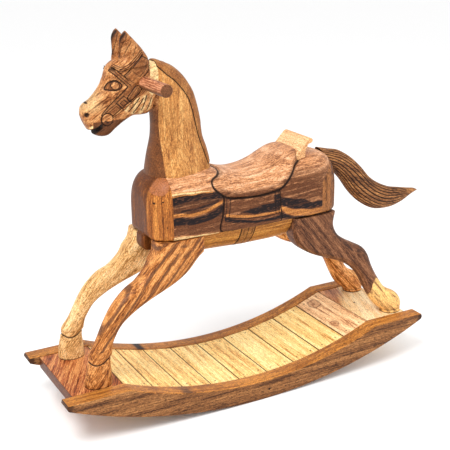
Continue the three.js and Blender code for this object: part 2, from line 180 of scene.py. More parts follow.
def read_vectors(items, key, width=3):
    """One row of numbers for each vertex, normal or painted colour."""
    flat = np.zeros(len(items) * width)
    items.foreach_get(key, flat)
    return flat.reshape(-1, width)


print("skins are ready")

# %% [markdown]
# Workshop steps shape the blanks. Joining puts two meshes into one, and fusing melts overlapping
# skins into one surface, like carving a head and its ears from one block. Sawing cuts along a
# board's joint and closes the cut. A blank of another shape can be cut away with a boolean.
# %% Fuse, saw and cut
def bake(made):
    graph = bpy.context.evaluated_depsgraph_get()
    mesh = bpy.data.meshes.new_from_object(made.evaluated_get(graph))
    old = made.data
    made.modifiers.clear()
    made.data = mesh
    bpy.data.meshes.remove(old)
    finish_mesh(mesh)
    return made


def join(made, other):
    both = bmesh.new()
    both.from_mesh(made.data)
    both.from_mesh(other.data)
    both.to_mesh(made.data)
    both.free()
    bpy.data.objects.remove(other)


def fuse(made, voxel, smooth):
    remesh = made.modifiers.new("fuse", "REMESH")
    remesh.mode = "VOXEL"
    remesh.voxel_size = voxel * MM
    soften = made.modifiers.new("soften", "SMOOTH")
    soften.factor = 0.5
    soften.iterations = smooth
    bake(made)


def cut_away(made, blank):
    step = made.modifiers.new("cut", "BOOLEAN")
    step.operation = "DIFFERENCE"
    step.object = blank
    step.solver = "EXACT"
    bake(made)
    bpy.data.objects.remove(blank)
    return made


def saw(made, point, normal):
    """Saws off what lies beyond the point in the normal's direction."""
    work = bmesh.new()
    work.from_mesh(made.data)
    bmesh.ops.bisect_plane(
        work,
        geom=work.verts[:] + work.edges[:] + work.faces[:],
        plane_co=placed([point])[0],
        plane_no=normal,
        clear_outer=True,
    )
    rim = [edge for edge in work.edges if edge.is_boundary]
    if rim:
        bmesh.ops.holes_fill(work, edges=rim, sides=0)
    work.to_mesh(made.data)
    work.free()
    finish_mesh(made.data)


def copy_of(made, name):
    twin = made.copy()
    twin.data = made.data.copy()
    twin.name = name
    twin.data.name = name
    scene.collection.objects.link(twin)
    return twin


print("workshop steps are ready")

# %% [markdown]
# Relief is cut by moving each vertex along its normal by a depth that depends on where it lies on
# the side drawing. Distances to drawn lines and outlines give those depths. The same distances
# paint a marks attribute that the finishes read: red for painted shade in the carved cuts and
# hollows and for a few dark knots, green for pale sapwood, blue for dark heartwood and for painted
# shade under the handle, in the ear hollows and, in part, low on the body's flanks, and alpha for a
# seed that shifts the figure from board to board.
# %% Distances on the drawing
def ramp(value, low, high):
    t = np.clip((value - low) / (high - low), 0, 1)
    return t * t * (3 - 2 * t)


def near(q, line):
    best = np.full(len(q), 1e9)
    line = np.asarray(line, float)
    for a, b in zip(line[:-1], line[1:]):
        step = b - a
        t = np.clip((q - a) @ step / (step @ step), 0, 1)
        best = np.minimum(best, np.hypot(*(q - a - t[:, None] * step).T))
    return best


def inside(q, outline):
    """Distance to the outline, positive inside it and negative outside."""
    line = np.asarray(outline, float)
    ring = np.vstack([line, line[:1]])
    odd = np.zeros(len(q), bool)
    for (ax, az), (bx, bz) in zip(ring[:-1], ring[1:]):
        if az != bz:
            crosses = (az > q[:, 1]) != (bz > q[:, 1])
            odd ^= crosses & (q[:, 0] < (bx - ax) * (q[:, 1] - az) / (bz - az) + ax)
    return np.where(odd, 1, -1) * near(q, ring)


def rounded(points, steps=6, loop=False):
    p = [list(map(float, point)) for point in points]
    if loop:
        count = len(p)
        t = (np.arange(count * steps) / steps + 1) / (count + 2)
        return curve([p[-1], *p, p[0], p[1]], t)
    return curve(p, np.linspace(0, 1, (len(p) - 1) * steps + 1))


def cut_line(distance, width=1.3):
    return np.exp(-((distance / width) ** 2))


def relief(made, depth):
    mesh = made.data
    normals = read_vectors(mesh.vertex_normals, "vector")
    reshape(made, lambda points: points + normals * depth(points, normals)[:, None])


def reshape(made, shape):
    mesh = made.data
    points = drawn(read_vectors(mesh.vertices, "co"))
    mesh.vertices.foreach_set("co", placed(shape(points)).ravel())
    mesh.update()


def marks(made, cuts=None, pale=None, heart=None, seed=0.5):
    mesh = made.data
    points = drawn(read_vectors(mesh.vertices, "co"))
    paint = np.zeros((len(points), 4))
    for channel, rule in enumerate((cuts, pale, heart)):
        if rule is not None:
            paint[:, channel] = np.clip(rule(points), 0, 1)
    paint[:, 3] = seed
    layer = mesh.attributes.new("marks", "FLOAT_COLOR", "POINT")
    layer.data.foreach_set("color", paint.ravel())


print("distance to a line", near(np.array([[0.0, 3.0]]), [[-5, 0], [5, 0]]))

# %% [markdown]
# The legs are four carved limbs. Each starts wide under the body, narrows at the knee or hock and
# ends in a hoof. The left legs stand a little further back than the right ones, as hand-carved
# legs do. Their tops are sawn flat under the body and their inner edges against the belly board.
# %% Leg drawings
FORELEG = [
    [[-254, 332], [-124, 332], -61, 36], [[-263, 306], [-127, 297], -61, 36],
    [[-279, 288], [-150, 276], -62, 35], [[-293, 265], [-183, 241], -64, 34],
    [[-321, 241], [-226, 214], -68, 32], [[-353, 224], [-290, 188], -73, 30],
    [[-384, 194], [-333, 166], -78, 27], [[-407, 157], [-364, 142], -83, 24],
    [[-430, 111], [-385, 107], -88, 22], [[-449, 83], [-391, 82], -92, 24],
    [[-451, 68], [-397, 66], -93, 22], [[-459, 34], [-395, 32], -94, 26],
    [[-462, 0], [-394, 0], -94, 29],
]
HIND_LEG = [
    [[146, 330], [284, 330], -57, 38], [[147, 294], [277, 294], -58, 38],
    [[161, 251], [290, 262], -60, 37], [[198, 221], [316, 240], -64, 35],
    [[247, 199], [345, 224], -69, 32], [[297, 179], [371, 209], -74, 30],
    [[335, 155], [387, 189], -78, 28], [[362, 124], [401, 154], -81, 25],
    [[383, 83], [420, 118], -84, 23], [[405, 45], [447, 79], -87, 22],
    [[428, 20], [488, 54], -89, 25], [[442, 8], [504, 29], -90, 27],
    [[446, 0], [503, 0], -91, 28],
]
FORELEG_LEAN = [8, 14, 17, 18, 17, 16, 12, 8, 5, 4, 4, 3, 1]
HIND_LEG_LEAN = [0, 2, 4, 6, 6, 6, 5, 4, 4, 4, 3, 3, 2]
BODY_FLOOR = 332
GLUE_GAP = 0.3
LEG_TOP_SQUARE = 5
BELLY_ENDS = (-123, 145)


def leaning(stations, lean):
    return [
        [[a[0] + d, a[1]], [b[0] + d, b[1]], y, w] for (a, b, y, w), d in zip(stations, lean)
    ]


def mirrored(stations):
    return [[a, b, -y, w] for a, b, y, w in stations]


print("leg stations", len(FORELEG), len(HIND_LEG))

# %% [markdown]
# A cut line with a raised lip crosses each foreleg where the fetlock meets the hoof. The hind
# hooves have only a faint edge. One long shallow gouge follows the middle of each leg.
# %% Legs
FETLOCK = [[-470, 62], [-452, 66], [-438, 60], [-420, 62], [-405, 70], [-380, 75]]
HIND_HOOF_RIM = [[424, 22], [438, 12], [470, 9], [508, 12]]
LEG_ROWS, LEG_SIDES = 240, 128
LIP_HEIGHT, LIP_AWAY, LIP_WIDTH = 0.9, 5.5, 2.5
FOOT_EDGE = 3.5


def leg(name, stations, front, hoof_line, cut_depth, gouge_depth):
    made = piece(name, skin(limb(stations, LEG_ROWS, LEG_SIDES, top_square=LEG_TOP_SQUARE)))
    saw(made, (0, 0, BODY_FLOOR - GLUE_GAP), (0, 0, 1))
    way = 1 if front else -1
    saw(made, (BELLY_ENDS[0 if front else 1] - way * GLUE_GAP, 0, 0), (way, 0, 0))
    line = rounded(hoof_line)
    middle = curve([[(a[0] + b[0]) / 2, (a[1] + b[1]) / 2] for a, b, y, w in stations],
                   np.linspace(0, 1, 80))

    def carve(p, n):
        q = p[:, [0, 2]]
        rim = near(q, line)
        gouge = gouge_depth * cut_line(near(q, middle), 9) * ramp(p[:, 2], 40, 120)
        lip = LIP_HEIGHT * cut_line(rim - LIP_AWAY, LIP_WIDTH) if cut_depth > 1 else 0
        return lip - cut_depth * cut_line(rim, 2.2) - gouge * ramp(np.abs(n[:, 1]), 0.25, 0.8)

    # Painted shade along the hoof's cut line, stronger for deeper cuts, and darker at the foot of
    # each hoof.
    def cuts(p):
        darkness = min(1, cut_depth / 2)
        foot = 0.8 * (1 - ramp(p[:, 2], 0, FOOT_EDGE))
        return darkness * cut_line(near(p[:, [0, 2]], line), 1.8) + foot

    relief(made, carve)
    marks(made, cuts)
    return made


left_fore, left_hind = leaning(FORELEG, FORELEG_LEAN), leaning(HIND_LEG, HIND_LEG_LEAN)
right_fore, right_hind = mirrored(FORELEG), mirrored(HIND_LEG)
foreleg_left = leg("foreleg_left_carved", left_fore, True, FETLOCK, 2.2, 1.4)
foreleg_right = leg("foreleg_right_carved", right_fore, True, FETLOCK, 1.8, 0.8)
hind_leg_left = leg("hind_leg_left_carved", left_hind, False, HIND_HOOF_RIM, 0.9, 0.8)
hind_leg_right = leg("hind_leg_right_carved", right_hind, False, HIND_HOOF_RIM, 0.9, 0.8)
print("leg vertices", len(foreleg_left.data.vertices))

# %% [markdown]
# The tail is one sweeping limb that ends in a point. Gouged flutes run down its length like combed
# hair and fade near the tip. They wander a little, because each was cut by hand.
# %% Tail
TAIL = [
    [[276, 491], [312, 427], 0, 26], [[312, 482], [325, 420], 0, 27],
    [[345, 474], [342, 402], 0, 28], [[383, 451], [358, 383], 0, 28],
    [[419, 419], [379, 354], 0, 28], [[452, 383], [401, 330], 0, 28],
    [[485, 360], [430, 306], 0, 27], [[525, 342], [470, 285], 0, 25],
    [[560, 334], [520, 280], 0, 21], [[595, 327], [562, 288], 0, 15],
    [[618, 323], [598, 304], 0, 9], [[631, 317], [629, 314], 0, 2],
]
TAIL_ROWS, TAIL_SIDES = 260, 300
FLUTES = 24
FLUTE_DEPTH = 0.085


def combed(t, angle):
    drift = 0.22 * np.sin(5 * t + 0.6) + 0.05 * np.sin(17 * t + 2 * angle)
    wave = 0.5 + 0.5 * np.cos(FLUTES * angle + FLUTES * drift * 0.5)
    fade = 1 - ramp(t, 0.72, 0.97)
    return 1 - FLUTE_DEPTH * (1 - np.sqrt(np.abs(np.sin(np.arccos(2 * wave - 1) / 2)))) * fade


tail = piece("tail_carved", skin(limb(TAIL, TAIL_ROWS, TAIL_SIDES, ripple=combed)), sharp=70)
tail_shape = combed(np.linspace(0, 1, TAIL_ROWS)[:, None], turns(TAIL_SIDES)[None])
tail_hollow = ((1 - tail_shape) / FLUTE_DEPTH).ravel()
# The flutes' hollows are darkened with painted shade.
marks(tail, cuts=lambda p: 0.8 * ramp(tail_hollow, 0.1, 0.5))
print("tail triangles", 2 * len(tail.data.polygons))

# %% [markdown]
# The body is a block with a rounded top and nearly square lower edges, hollowed for the seat. Each
# section across it is a superellipse, given by its place, half width, top, bottom and squareness.
# The saddle is a second set of sections, a little proud of the block, and the skin steps from one
# to the other at the saddle's drawn edge.
# %% Body sections
BODY = [
    [-258, 42, 440, 350, 2.6], [-254, 58, 460, 340, 2.7], [-245, 72, 476, 334, 2.9],
    [-228, 86, 488, 332, 3.3], [-207, 94, 493, 332, 3.6], [-165, 97, 494, 332, 4],
    [-120, 98, 494, 332, 4], [-80, 98, 491, 332, 3.6], [-50, 98, 484, 332, 3],
    [-15, 98, 475, 332, 2.6], [20, 98, 471, 332, 2.5], [60, 98, 471, 332, 2.5],
    [100, 98, 476, 332, 2.8], [160, 98, 486, 332, 3.6], [200, 97, 491, 332, 4],
    [232, 95, 492, 332, 3.8], [262, 88, 489, 332, 3], [284, 74, 478, 334, 2.6],
    [297, 54, 460, 340, 2.4],
]
SADDLE = [
    [-120, 98, 496, 332, 3], [-70, 98, 491, 332, 3], [-40, 98, 479, 332, 2.8],
    [-10, 98, 471, 332, 2.6], [20, 98, 469, 332, 2.5], [60, 98, 474, 332, 2.5],
    [95, 98, 485, 332, 2.6], [125, 98, 496, 332, 3], [155, 98, 504, 332, 3.6],
    [190, 98, 508, 332, 4],
]
WIDE_HEIGHT = 392
FLAT_BOTTOM = 14
SADDLE_LIFT = 4.5
BLANKET_LIFT = 2.2
BODY_ROWS, BODY_SIDES = 280, 300


def sizes_along(sections, x):
    t = np.linspace(0, 1, 600)
    fine = curve(sections, t)
    order = np.argsort(fine[:, 0])
    return [np.interp(x, fine[order, 0], fine[order, c])[:, None] for c in (1, 2, 3, 4)]


def trunk(sections, x, sides, grow=0.0, bottom_square=FLAT_BOTTOM):
    half_width, top, bottom, square = sizes_along(sections, x)
    angle = turns(sides, -np.pi / 2)[None]
    cos, sin = np.cos(angle), np.sin(angle)
    exponent = np.where(sin > 0, square, bottom_square)
    radius = (np.abs(cos) ** exponent + np.abs(sin) ** exponent) ** (-1 / exponent)
    reach = np.where(sin > 0, top + grow - WIDE_HEIGHT, WIDE_HEIGHT - bottom)
    ring = np.zeros((len(x), sides, 3))
    ring[..., 0] = x[:, None]
    ring[..., 1] = (half_width + grow) * cos * radius
    ring[..., 2] = WIDE_HEIGHT + reach * sin * radius
    return ring


print("seat height at the middle", sizes_along(SADDLE, np.array([20.0]))[1].round(1))

# %% [markdown]
# The outlines of the saddle skirt and of the blanket below it are drawn once. The blanket has a
# stitched band near each end and a piped lower edge.
# %% Saddle and blanket
SADDLE_EDGE = rounded([
    [-60, 530], [-58, 494], [-43, 484], [-70, 476], [-91, 470], [-93, 459], [-84, 446],
    [-60, 428], [-30, 421], [30, 417], [80, 421], [106, 428], [130, 448], [154, 474],
    [182, 492], [182, 530],
], 6, loop=True)
BLANKET_EDGE = rounded([
    [-70, 440], [-66, 424], [-70, 381], [-77, 343], [-47, 335], [-10, 333.5], [40, 333.5],
    [76, 336], [101, 340], [98, 380], [95, 440],
], 6)
BLANKET_PIPING = [[-67, 373], [-7, 362], [50, 358], [99, 360]]
STITCHES = [
    [[-49, 428], [-52, 392], [-55, 372]], [[-60, 428], [-62, 392], [-66, 374]],
    [[82, 423], [81, 390], [84, 362]], [[92, 428], [91, 390], [94, 362]],
]

body_x = np.linspace(BODY[0][0], BODY[-1][0], BODY_ROWS)
body_rings = trunk(BODY, body_x, BODY_SIDES)
saddle_x = np.clip(body_x, SADDLE[0][0], SADDLE[-1][0])
saddle_rings = trunk(SADDLE, saddle_x, BODY_SIDES, grow=SADDLE_LIFT)
saddle_rings[..., 0] = body_rings[..., 0]
body_side = body_rings[..., [0, 2]].reshape(-1, 2)
on_saddle = ramp(inside(body_side, SADDLE_EDGE), -0.6, 2.2).reshape(body_rings.shape[:2])
body_rings += (saddle_rings - body_rings) * on_saddle[..., None]
body = piece("body", skin(body_rings))


def stitching(p, width):
    """How deep the stitched bands lie at each point, dashed along their length."""
    dash = 0.5 + 0.5 * np.sin(p[:, 2] * 1.15)
    rows = sum(cut_line(near(p[:, [0, 2]], seam), width) for seam in STITCHES)
    return rows * (0.4 + 0.6 * dash)


def body_carving(p, n):
    q = p[:, [0, 2]]
    skirt = inside(q, SADDLE_EDGE)
    cloth = inside(q, BLANKET_EDGE)
    below = 1 - ramp(skirt, -3, -1)
    blanket = BLANKET_LIFT * ramp(cloth, -0.8, 1.2) - 1.4 * cut_line(cloth + 1.6, 1.5)
    piping = 1.4 * cut_line(near(q, BLANKET_PIPING), 1.3) * (cloth > 0)
    on_side = (blanket - 1.2 * stitching(p, 1.4)) * below - piping
    skirt_cut = 2.4 * cut_line(skirt + 2.6, 2.2) * (p[:, 2] < 494)
    return on_side * ramp(np.abs(n[:, 1]), 0.3, 0.7) - skirt_cut


relief(body, body_carving)
print("body triangles", 2 * len(body.data.polygons))

# %% [markdown]
# The figure of the body's boards is bold: pale sapwood lines, black and brown heartwood, orange
# streaks on the flanks, and a pinkish top. The brown low on the flanks and along the foot of the
# saddle skirt is partly the wood's own colour and partly painted shade. The bands follow drawn
# lines, so the finish can read them from the marks and break their edges up with grain. A weak
# green mark becomes an amber streak, and a strong one becomes sapwood.
# %% Body figure
CREAM = [
    [[-217, 455], [-176, 454], [-148, 454], [-100, 450], [-100, 447], [-134, 449], [-162, 448],
     [-218, 447]],
    [[-218, 344], [-165, 341], [-123, 340], [-82, 338], [-82, 334], [-123, 332], [-165, 332],
     [-219, 334]],
]
BLACK = [
    [[-218, 447], [-162, 446], [-114, 445], [-87, 445], [-66, 431], [-67, 425], [-100, 429],
     [-135, 433], [-162, 432], [-183, 428], [-218, 426]],
    [[-217, 395], [-164, 387], [-122, 389], [-93, 399], [-68, 407], [-70, 391], [-94, 379],
     [-122, 372], [-164, 370], [-217, 375]],
    [[-22, 380], [11, 386], [45, 390], [79, 390], [79, 410], [95, 411], [96, 366], [67, 368],
     [26, 371]],
    [[-67, 371], [-7, 357], [48, 350], [98, 353], [98, 344], [48, 344], [-7, 350], [-67, 362]],
    [[97, 401], [136, 392], [171, 385], [199, 371], [243, 369], [244, 355], [199, 355],
     [144, 364], [98, 380]],
    [[98, 360], [117, 351], [144, 342], [199, 334], [244, 335], [244, 330], [199, 331],
     [144, 337], [100, 342]],
]
ORANGE = [
    [[-216, 405], [-163, 399], [-122, 403], [-93, 414], [-68, 421], [-68, 414], [-93, 405],
     [-122, 394], [-164, 391], [-217, 397]],
    [[98, 375], [144, 362], [199, 353], [244, 351], [244, 337], [199, 336], [144, 345],
     [117, 354], [98, 367]],
]
ORANGE_LINE = [[-62, 378], [-7, 367], [48, 363], [98, 363]]
THIN_LINES = [
    [[-184, 407], [-149, 407], [-114, 415], [-86, 421]], [[-205, 372], [-150, 362], [-80, 366]],
]
DARK_FLANK = [
    [-225, 447], [-160, 446], [-88, 446], [-66, 441], [-66, 436], [100, 436], [140, 440],
    [190, 436], [250, 410], [250, 326], [104, 342], [86, 325], [-82, 325], [-82, 338], [-225, 345],
]
FLANK_FROM = 60


def on_flank(p):
    return np.abs(p[:, 1]) > FLANK_FROM


def flank(p):
    wander = 1.6 * np.sin(p[:, 0] / 13.0) * np.sin(p[:, 0] / 31.0 + 1)
    return np.stack([p[:, 0], p[:, 2] + wander], -1)


def stripe(q, line, half, soft):
    return 1 - ramp(near(q, line), half - soft, half + soft)


def within(q, outlines, low=-3, high=3):
    return sum(ramp(inside(q, outline), low, high) for outline in outlines)


def golden(q):
    return np.minimum(within(q, ORANGE) + stripe(q, ORANGE_LINE, 3.5, 2.5), 1)


# Painted shade in the carved lines: along the saddle's edge, the blanket's edge, its stitches and
# its piping.
def body_cuts(p):
    q = p[:, [0, 2]]
    skirt, cloth = inside(q, SADDLE_EDGE), inside(q, BLANKET_EDGE)
    edges = 1.3 * cut_line(cloth + 1.4, 1.8) + 1.1 * stitching(p, 1.5)
    piping = 0.9 * cut_line(near(q, BLANKET_PIPING), 1.3) * (cloth > 0)
    on_side = (edges * (skirt < -1) + piping) * on_flank(p)
    return 1.6 * cut_line(skirt + 2.4, 2.2) * (p[:, 2] < 496) + on_side


def body_pale(p):
    q = flank(p)
    pale = within(q, CREAM, -2.5, 2) * (p[:, 0] < -80)
    gold = 0.3 * golden(q) * (inside(p[:, [0, 2]], SADDLE_EDGE) < -1)
    return np.maximum(pale, gold) * on_flank(p)


def body_heart(p):
    q = flank(p)
    x, height = p[:, 0], p[:, 2]
    skirt = inside(p[:, [0, 2]], SADDLE_EDGE)
    # The lower flank's brown is partly the wood's own colour and partly painted shade.
    shade = ramp(inside(q, DARK_FLANK), -3, 5)
    rear = 0.42 * ramp(x, 84, 100) * (1 - ramp(height, 436, 484))
    front = 0.22 * shade * (x < -66) * ramp(height, 366, 384)
    cloud = 0.12 * cut_line(np.hypot((x - 165) / 1.8, height - 408), 26) * (x > 102)
    thin = 0.16 * sum(stripe(q, line, 3.0, 3.0) for line in THIN_LINES)
    brown = np.maximum(0.5 * shade, rear) + front + cloud + thin
    dark = np.maximum(brown, 0.95 * np.minimum(within(q, BLACK, -5.5, 1.5), 1))
    dark = dark * (1 - 0.62 * golden(q)) * (skirt < -1) * on_flank(p)
    top_line = 0.3 * cut_line(np.abs(p[:, 1]) - 62, 2.5) * (height > 460) * (x > -20)
    # Darker along the foot of the saddle skirt, partly the wood's own tone and partly painted shade.
    skirt_foot_tone_and_shade = 0.47 * (1 - ramp(skirt, 6, 24)) * (skirt > -1) * (1 - ramp(height, 440, 462))
    return np.maximum.reduce([dark, top_line, skirt_foot_tone_and_shade])


print("flank bands", len(CREAM) + len(BLACK) + len(ORANGE))

# %% [markdown]
# Flat boards, the saddle's raised back and the keel are plates: a side outline with softened
# corners, pushed across the horse, with its two edges rolled over a small radius.
# %% Plates
def soft_corners(points, radius, steps=4):
    p = np.asarray(points, float)
    made = []
    for before, here, after in zip(np.roll(p, 1, 0), p, np.roll(p, -1, 0)):
        a, b = before - here, after - here
        start = here + a * min(radius / np.hypot(*a), 0.45)
        end = here + b * min(radius / np.hypot(*b), 0.45)
        for t in np.linspace(0, 1, steps + 1):
            made.append((1 - t) ** 2 * start + 2 * t * (1 - t) * here + t * t * end)
    return np.array(made)


def plate(outline, low, high, roll=1.5, steps=4):
    p = np.asarray(outline, float)
    step = np.roll(p, -1, 0) - np.roll(p, 1, 0)
    normal = np.stack([-step[:, 1], step[:, 0]], -1)
    normal /= np.maximum(np.hypot(*normal.T), 1e-9)[:, None]
    x, z = p.T
    if np.sum(x * np.roll(z, -1) - np.roll(x, -1) * z) < 0:
        normal = -normal
    rings = []
    for angle in np.linspace(0, math.pi / 2, steps + 1):
        inset, depth = roll * (1 - math.sin(angle)), roll * (1 - math.cos(angle))
        rings.append((inset, low + depth))
    rings += [(inset, high - (y - low)) for inset, y in reversed(rings)]
    laid = np.zeros((len(rings), len(p), 3))
    for i, (inset, y) in enumerate(rings):
        laid[i, :, [0, 2]] = (p + normal * inset).T
        laid[i, :, 1] = y
    return skin(laid)


print("a plate has", len(plate([[0, 0], [9, 0], [9, 9], [0, 9]], -1, 1)[1]), "faces")

# %% [markdown]
# The body is sawn into three boards. The chest block has a keel between the forelegs, melted into
# it. The rump block lies under a slanted joint at the back, and the tail's seat is planed flat.
# %% Chest, barrel and rump
CHEST_JOINT, RUMP_JOINT = -207, 232
RUMP_SLANT = [[232, 422], [276, 474]]
TAIL_SEAT = [[276, 491], [312, 427]]
KEEL = [
    [-260, 340], [-262, 312], [-254, 296], [-232, 292], [-214, 300], [-190, 306], [-190, 340],
]
KEEL_HALF, KEEL_ROLL = 21, 7
CHEST_SPARE = 14
HALF_GAP = GLUE_GAP / 2


def normal_to(line, up):
    (ax, az), (bx, bz) = line
    n = np.array([bz - az, 0, ax - bx]) / math.hypot(bx - ax, bz - az)
    return tuple(n if n[2] * up > 0 else -n)


saw(body, (TAIL_SEAT[0][0] - GLUE_GAP, 0, TAIL_SEAT[0][1]), normal_to(TAIL_SEAT, 1))
chest = copy_of(body, "chest_carved")
saw(chest, (CHEST_JOINT + CHEST_SPARE, 0, 0), (1, 0, 0))
join(chest, piece("keel", plate(soft_corners(KEEL, 8), -KEEL_HALF, KEEL_HALF, KEEL_ROLL)))
fuse(chest, 1.6, 4)
saw(chest, (CHEST_JOINT - HALF_GAP, 0, 0), (1, 0, 0))

(low_x, low_z), (high_x, high_z) = RUMP_SLANT
rump = copy_of(body, "rump_carved")
saw(rump, (RUMP_JOINT + HALF_GAP, 0, 0), (-1, 0, 0))
saw(rump, (low_x, 0, low_z - HALF_GAP), normal_to(RUMP_SLANT, 1))
saw(rump, (0, 0, high_z - HALF_GAP), (0, 0, 1))

barrel = body
barrel.name = "barrel_carved"
saw(barrel, (CHEST_JOINT + HALF_GAP, 0, 0), (-1, 0, 0))
behind = [[low_x, 200], [low_x, low_z], [high_x, high_z], [400, high_z], [400, 200]]
cut_away(barrel, piece("rump_blank", plate(behind, -150, 150, 0.1, 1)))
marks(barrel, cuts=body_cuts, pale=body_pale, heart=body_heart)
marks(chest)
marks(rump)
for board in (chest, barrel, rump):
    print(board.name, len(board.data.polygons), "faces")

# %% [markdown]
# The chest has its own figure: dark heartwood over the front and the far side, a pinkish patch at
# each shoulder and a few small dark knots on the left side.
# %% Chest figure
SHOULDER_PATCH = rounded(
    [[-265, 515], [-223, 520], [-205, 486], [-219, 456], [-244, 452], [-262, 478]], 5, loop=True)
KNOTS = [(-246, 432, 2.6), (-229, 436, 2.2), (-222, 371, 1.6)]


def knots(p, places):
    q = p[:, [0, 2]]
    return sum(np.exp(-((np.hypot(*(q - (x, z)).T) / r) ** 4)) for x, z, r in places)


def repaint(made, channel, rule):
    layer = made.data.attributes["marks"]
    paint = read_vectors(layer.data, "color", 4)
    points = drawn(read_vectors(made.data.vertices, "co"))
    paint[:, channel] = np.clip(np.maximum(paint[:, channel], rule(points)), 0, 1)
    layer.data.foreach_set("color", paint.ravel())


def shoulder(p):
    patch = ramp(inside(p[:, [0, 2]], SHOULDER_PATCH), -1, 2)
    return 0.8 * patch * (np.abs(p[:, 1]) > 40)


repaint(chest, 0, lambda p: 0.9 * knots(p, KNOTS) * (p[:, 1] < 0))
repaint(chest, 1, shoulder)
repaint(chest, 2, lambda p: 0.5 * ramp(p[:, 1], -52, -40))
print("chest knots", len(KNOTS))

# %% [markdown]
# The belly board closes the body below, rounded like a barrel stave. The girth strap is carved over
# it with a seam along it, and a plain buckle frame lies on each side.
# %% Belly board
BELLY = [
    [-123, 94, 392, 268, 3], [-60, 95, 392, 266, 3], [20, 95, 392, 263, 3],
    [90, 95, 392, 263, 3], [145, 94, 392, 265, 3],
]
GIRTH = (-9, 31)
GIRTH_SEAM = 12
BUCKLE = [[0, 326], [24, 326], [24, 308], [0, 308], [0, 326]]
belly_rings = trunk(BELLY, np.linspace(*BELLY_ENDS, 150), 220, bottom_square=2.1)
belly = piece("belly_carved", skin(belly_rings))
saw(belly, (0, 0, BODY_FLOOR - GLUE_GAP), (0, 0, 1))


def girth_lines(p, edge, seam, frame_line):
    """Three groups of cuts, each given as a strength and a width."""
    x = p[:, 0]
    to_edge = np.minimum(np.abs(x - GIRTH[0]), np.abs(x - GIRTH[1]))
    distances = (to_edge, x - GIRTH_SEAM, near(p[:, [0, 2]], BUCKLE))
    pairs = zip(distances, (edge, seam, frame_line))
    return sum(strength * cut_line(far, width) for far, (strength, width) in pairs)


def belly_carving(p, n):
    x = p[:, 0]
    strap = ramp(x, GIRTH[0] - 0.8, GIRTH[0] + 1) * (1 - ramp(x, GIRTH[1] - 1, GIRTH[1] + 0.8))
    lines = girth_lines(p, (1.4, 1.5), (1.0, 1.2), (0.7, 1.2))
    return (0.6 * strap - lines) * (p[:, 2] < BODY_FLOOR - 1)


relief(belly, belly_carving)
# Painted shade in the girth's cut lines; the strap itself is a little darker.
marks(belly, cuts=lambda p: girth_lines(p, (1.0, 1.6), (0.7, 1.1), (0.8, 1.2)),
      heart=lambda p: 0.25 * (p[:, 0] > GIRTH[0]) * (p[:, 0] < GIRTH[1]))
print("belly", len(belly.data.polygons), "faces")

# %% [markdown]
# The saddle's raised back is one pale block with a rolled lip. The handle is a turned dowel through
# the head, with a softly rounded end.
# %% Cantle and handle
CANTLE = [
    [168, 474], [168, 494], [176, 503], [196, 524], [206, 534], [214, 537], [221, 533],
    [222, 526], [216, 522], [209, 521], [203, 512], [199, 502], [198, 474],
]
CANTLE_HALF = 61
cantle = piece("cantle_carved", plate(soft_corners(CANTLE, 3), -CANTLE_HALF, CANTLE_HALF, 2.2))
marks(cantle)

HANDLE = {"x": -247, "height": 724}
HANDLE_RADIUS, HANDLE_REACH, HANDLE_ROLL = 15.5, 165, 3.0


def around(q, spot):
    return np.hypot(q[:, 0] - spot["x"], q[:, 1] - spot["height"])


def turned(profile, axis, sides=64):
    x, height = axis["x"], axis["height"]
    return np.array([
        [[x + r * math.cos(a), y, height + r * math.sin(a)] for a in turns(sides)]
        for y, r in profile
    ])


half = [(0.0, HANDLE_RADIUS)]
for t in np.linspace(0, math.pi / 2, 6):
    inset, narrower = HANDLE_ROLL * (1 - math.sin(t)), HANDLE_ROLL * (1 - math.cos(t))
    half.append((HANDLE_REACH - inset, HANDLE_RADIUS - narrower))
half.append((HANDLE_REACH, HANDLE_RADIUS * 0.5))
profile = [(-y, r) for y, r in reversed(half)] + half[1:]
handle = piece("handle_turned", skin(turned(profile, HANDLE)))


def on_end(p):
    return np.abs(p[:, 1]) > HANDLE_REACH - 2


# The handle's lower half is darkened with painted shade; its end faces are darker end grain with a
# dark ring.
marks(
    handle,
    cuts=lambda p: 0.45 * cut_line(around(p[:, [0, 2]], HANDLE) - 11, 2) * on_end(p),
    heart=lambda p: 0.6 * np.maximum(1 - ramp(p[:, 2] - HANDLE["height"], -12, 3), on_end(p)),
)
print("handle reaches", HANDLE_REACH, "mm to each side")

# %% [markdown]
# Head, ears and neck are carved together. Four skins are fused into one surface, with the open
# mouth cut through first. The ears are scooped out at their outer sides.
# %% Head and neck blank
NECK = [
    [[-234, 462], [-58, 462], 0, 68], [[-232, 493], [-60, 493], 0, 65],
    [[-226, 534], [-68, 534], 0, 55], [[-216, 578], [-81, 574], 0, 47],
    [[-214, 614], [-85, 613], 0, 42], [[-216, 645], [-94, 656], 0, 39],
    [[-222, 680], [-107, 693], 0, 37], [[-228, 712], [-130, 726], 0, 36],
    [[-238, 738], [-161, 753], 0, 34], [[-248, 752], [-201, 771], 0, 30],
]
HEAD = [
    [[-398, 660], [-388, 632], 0, 11], [[-394, 676], [-377, 615], 0, 21],
    [[-386, 684], [-357, 602], 0, 26], [[-371, 693], [-333, 601], 0, 27],
    [[-353, 711], [-312, 616], 0, 28], [[-341, 727], [-290, 631], 0, 33],
    [[-332, 744], [-268, 642], 0, 40], [[-323, 765], [-245, 642], 0, 44],
    [[-302, 780], [-226, 646], 0, 45], [[-262, 788], [-212, 668], 0, 42],
    [[-228, 776], [-205, 700], 0, 34],
]
EAR = [
    [[-303, 760], [-226, 768], -22, 23], [[-301, 785], [-231, 784], -23, 22],
    [[-300, 812], [-247, 806], -25, 19], [[-298, 830], [-262, 823], -26, 14],
    [[-292, 842], [-276, 838], -27, 8], [[-286, 848], [-284, 847], -27, 2],
]
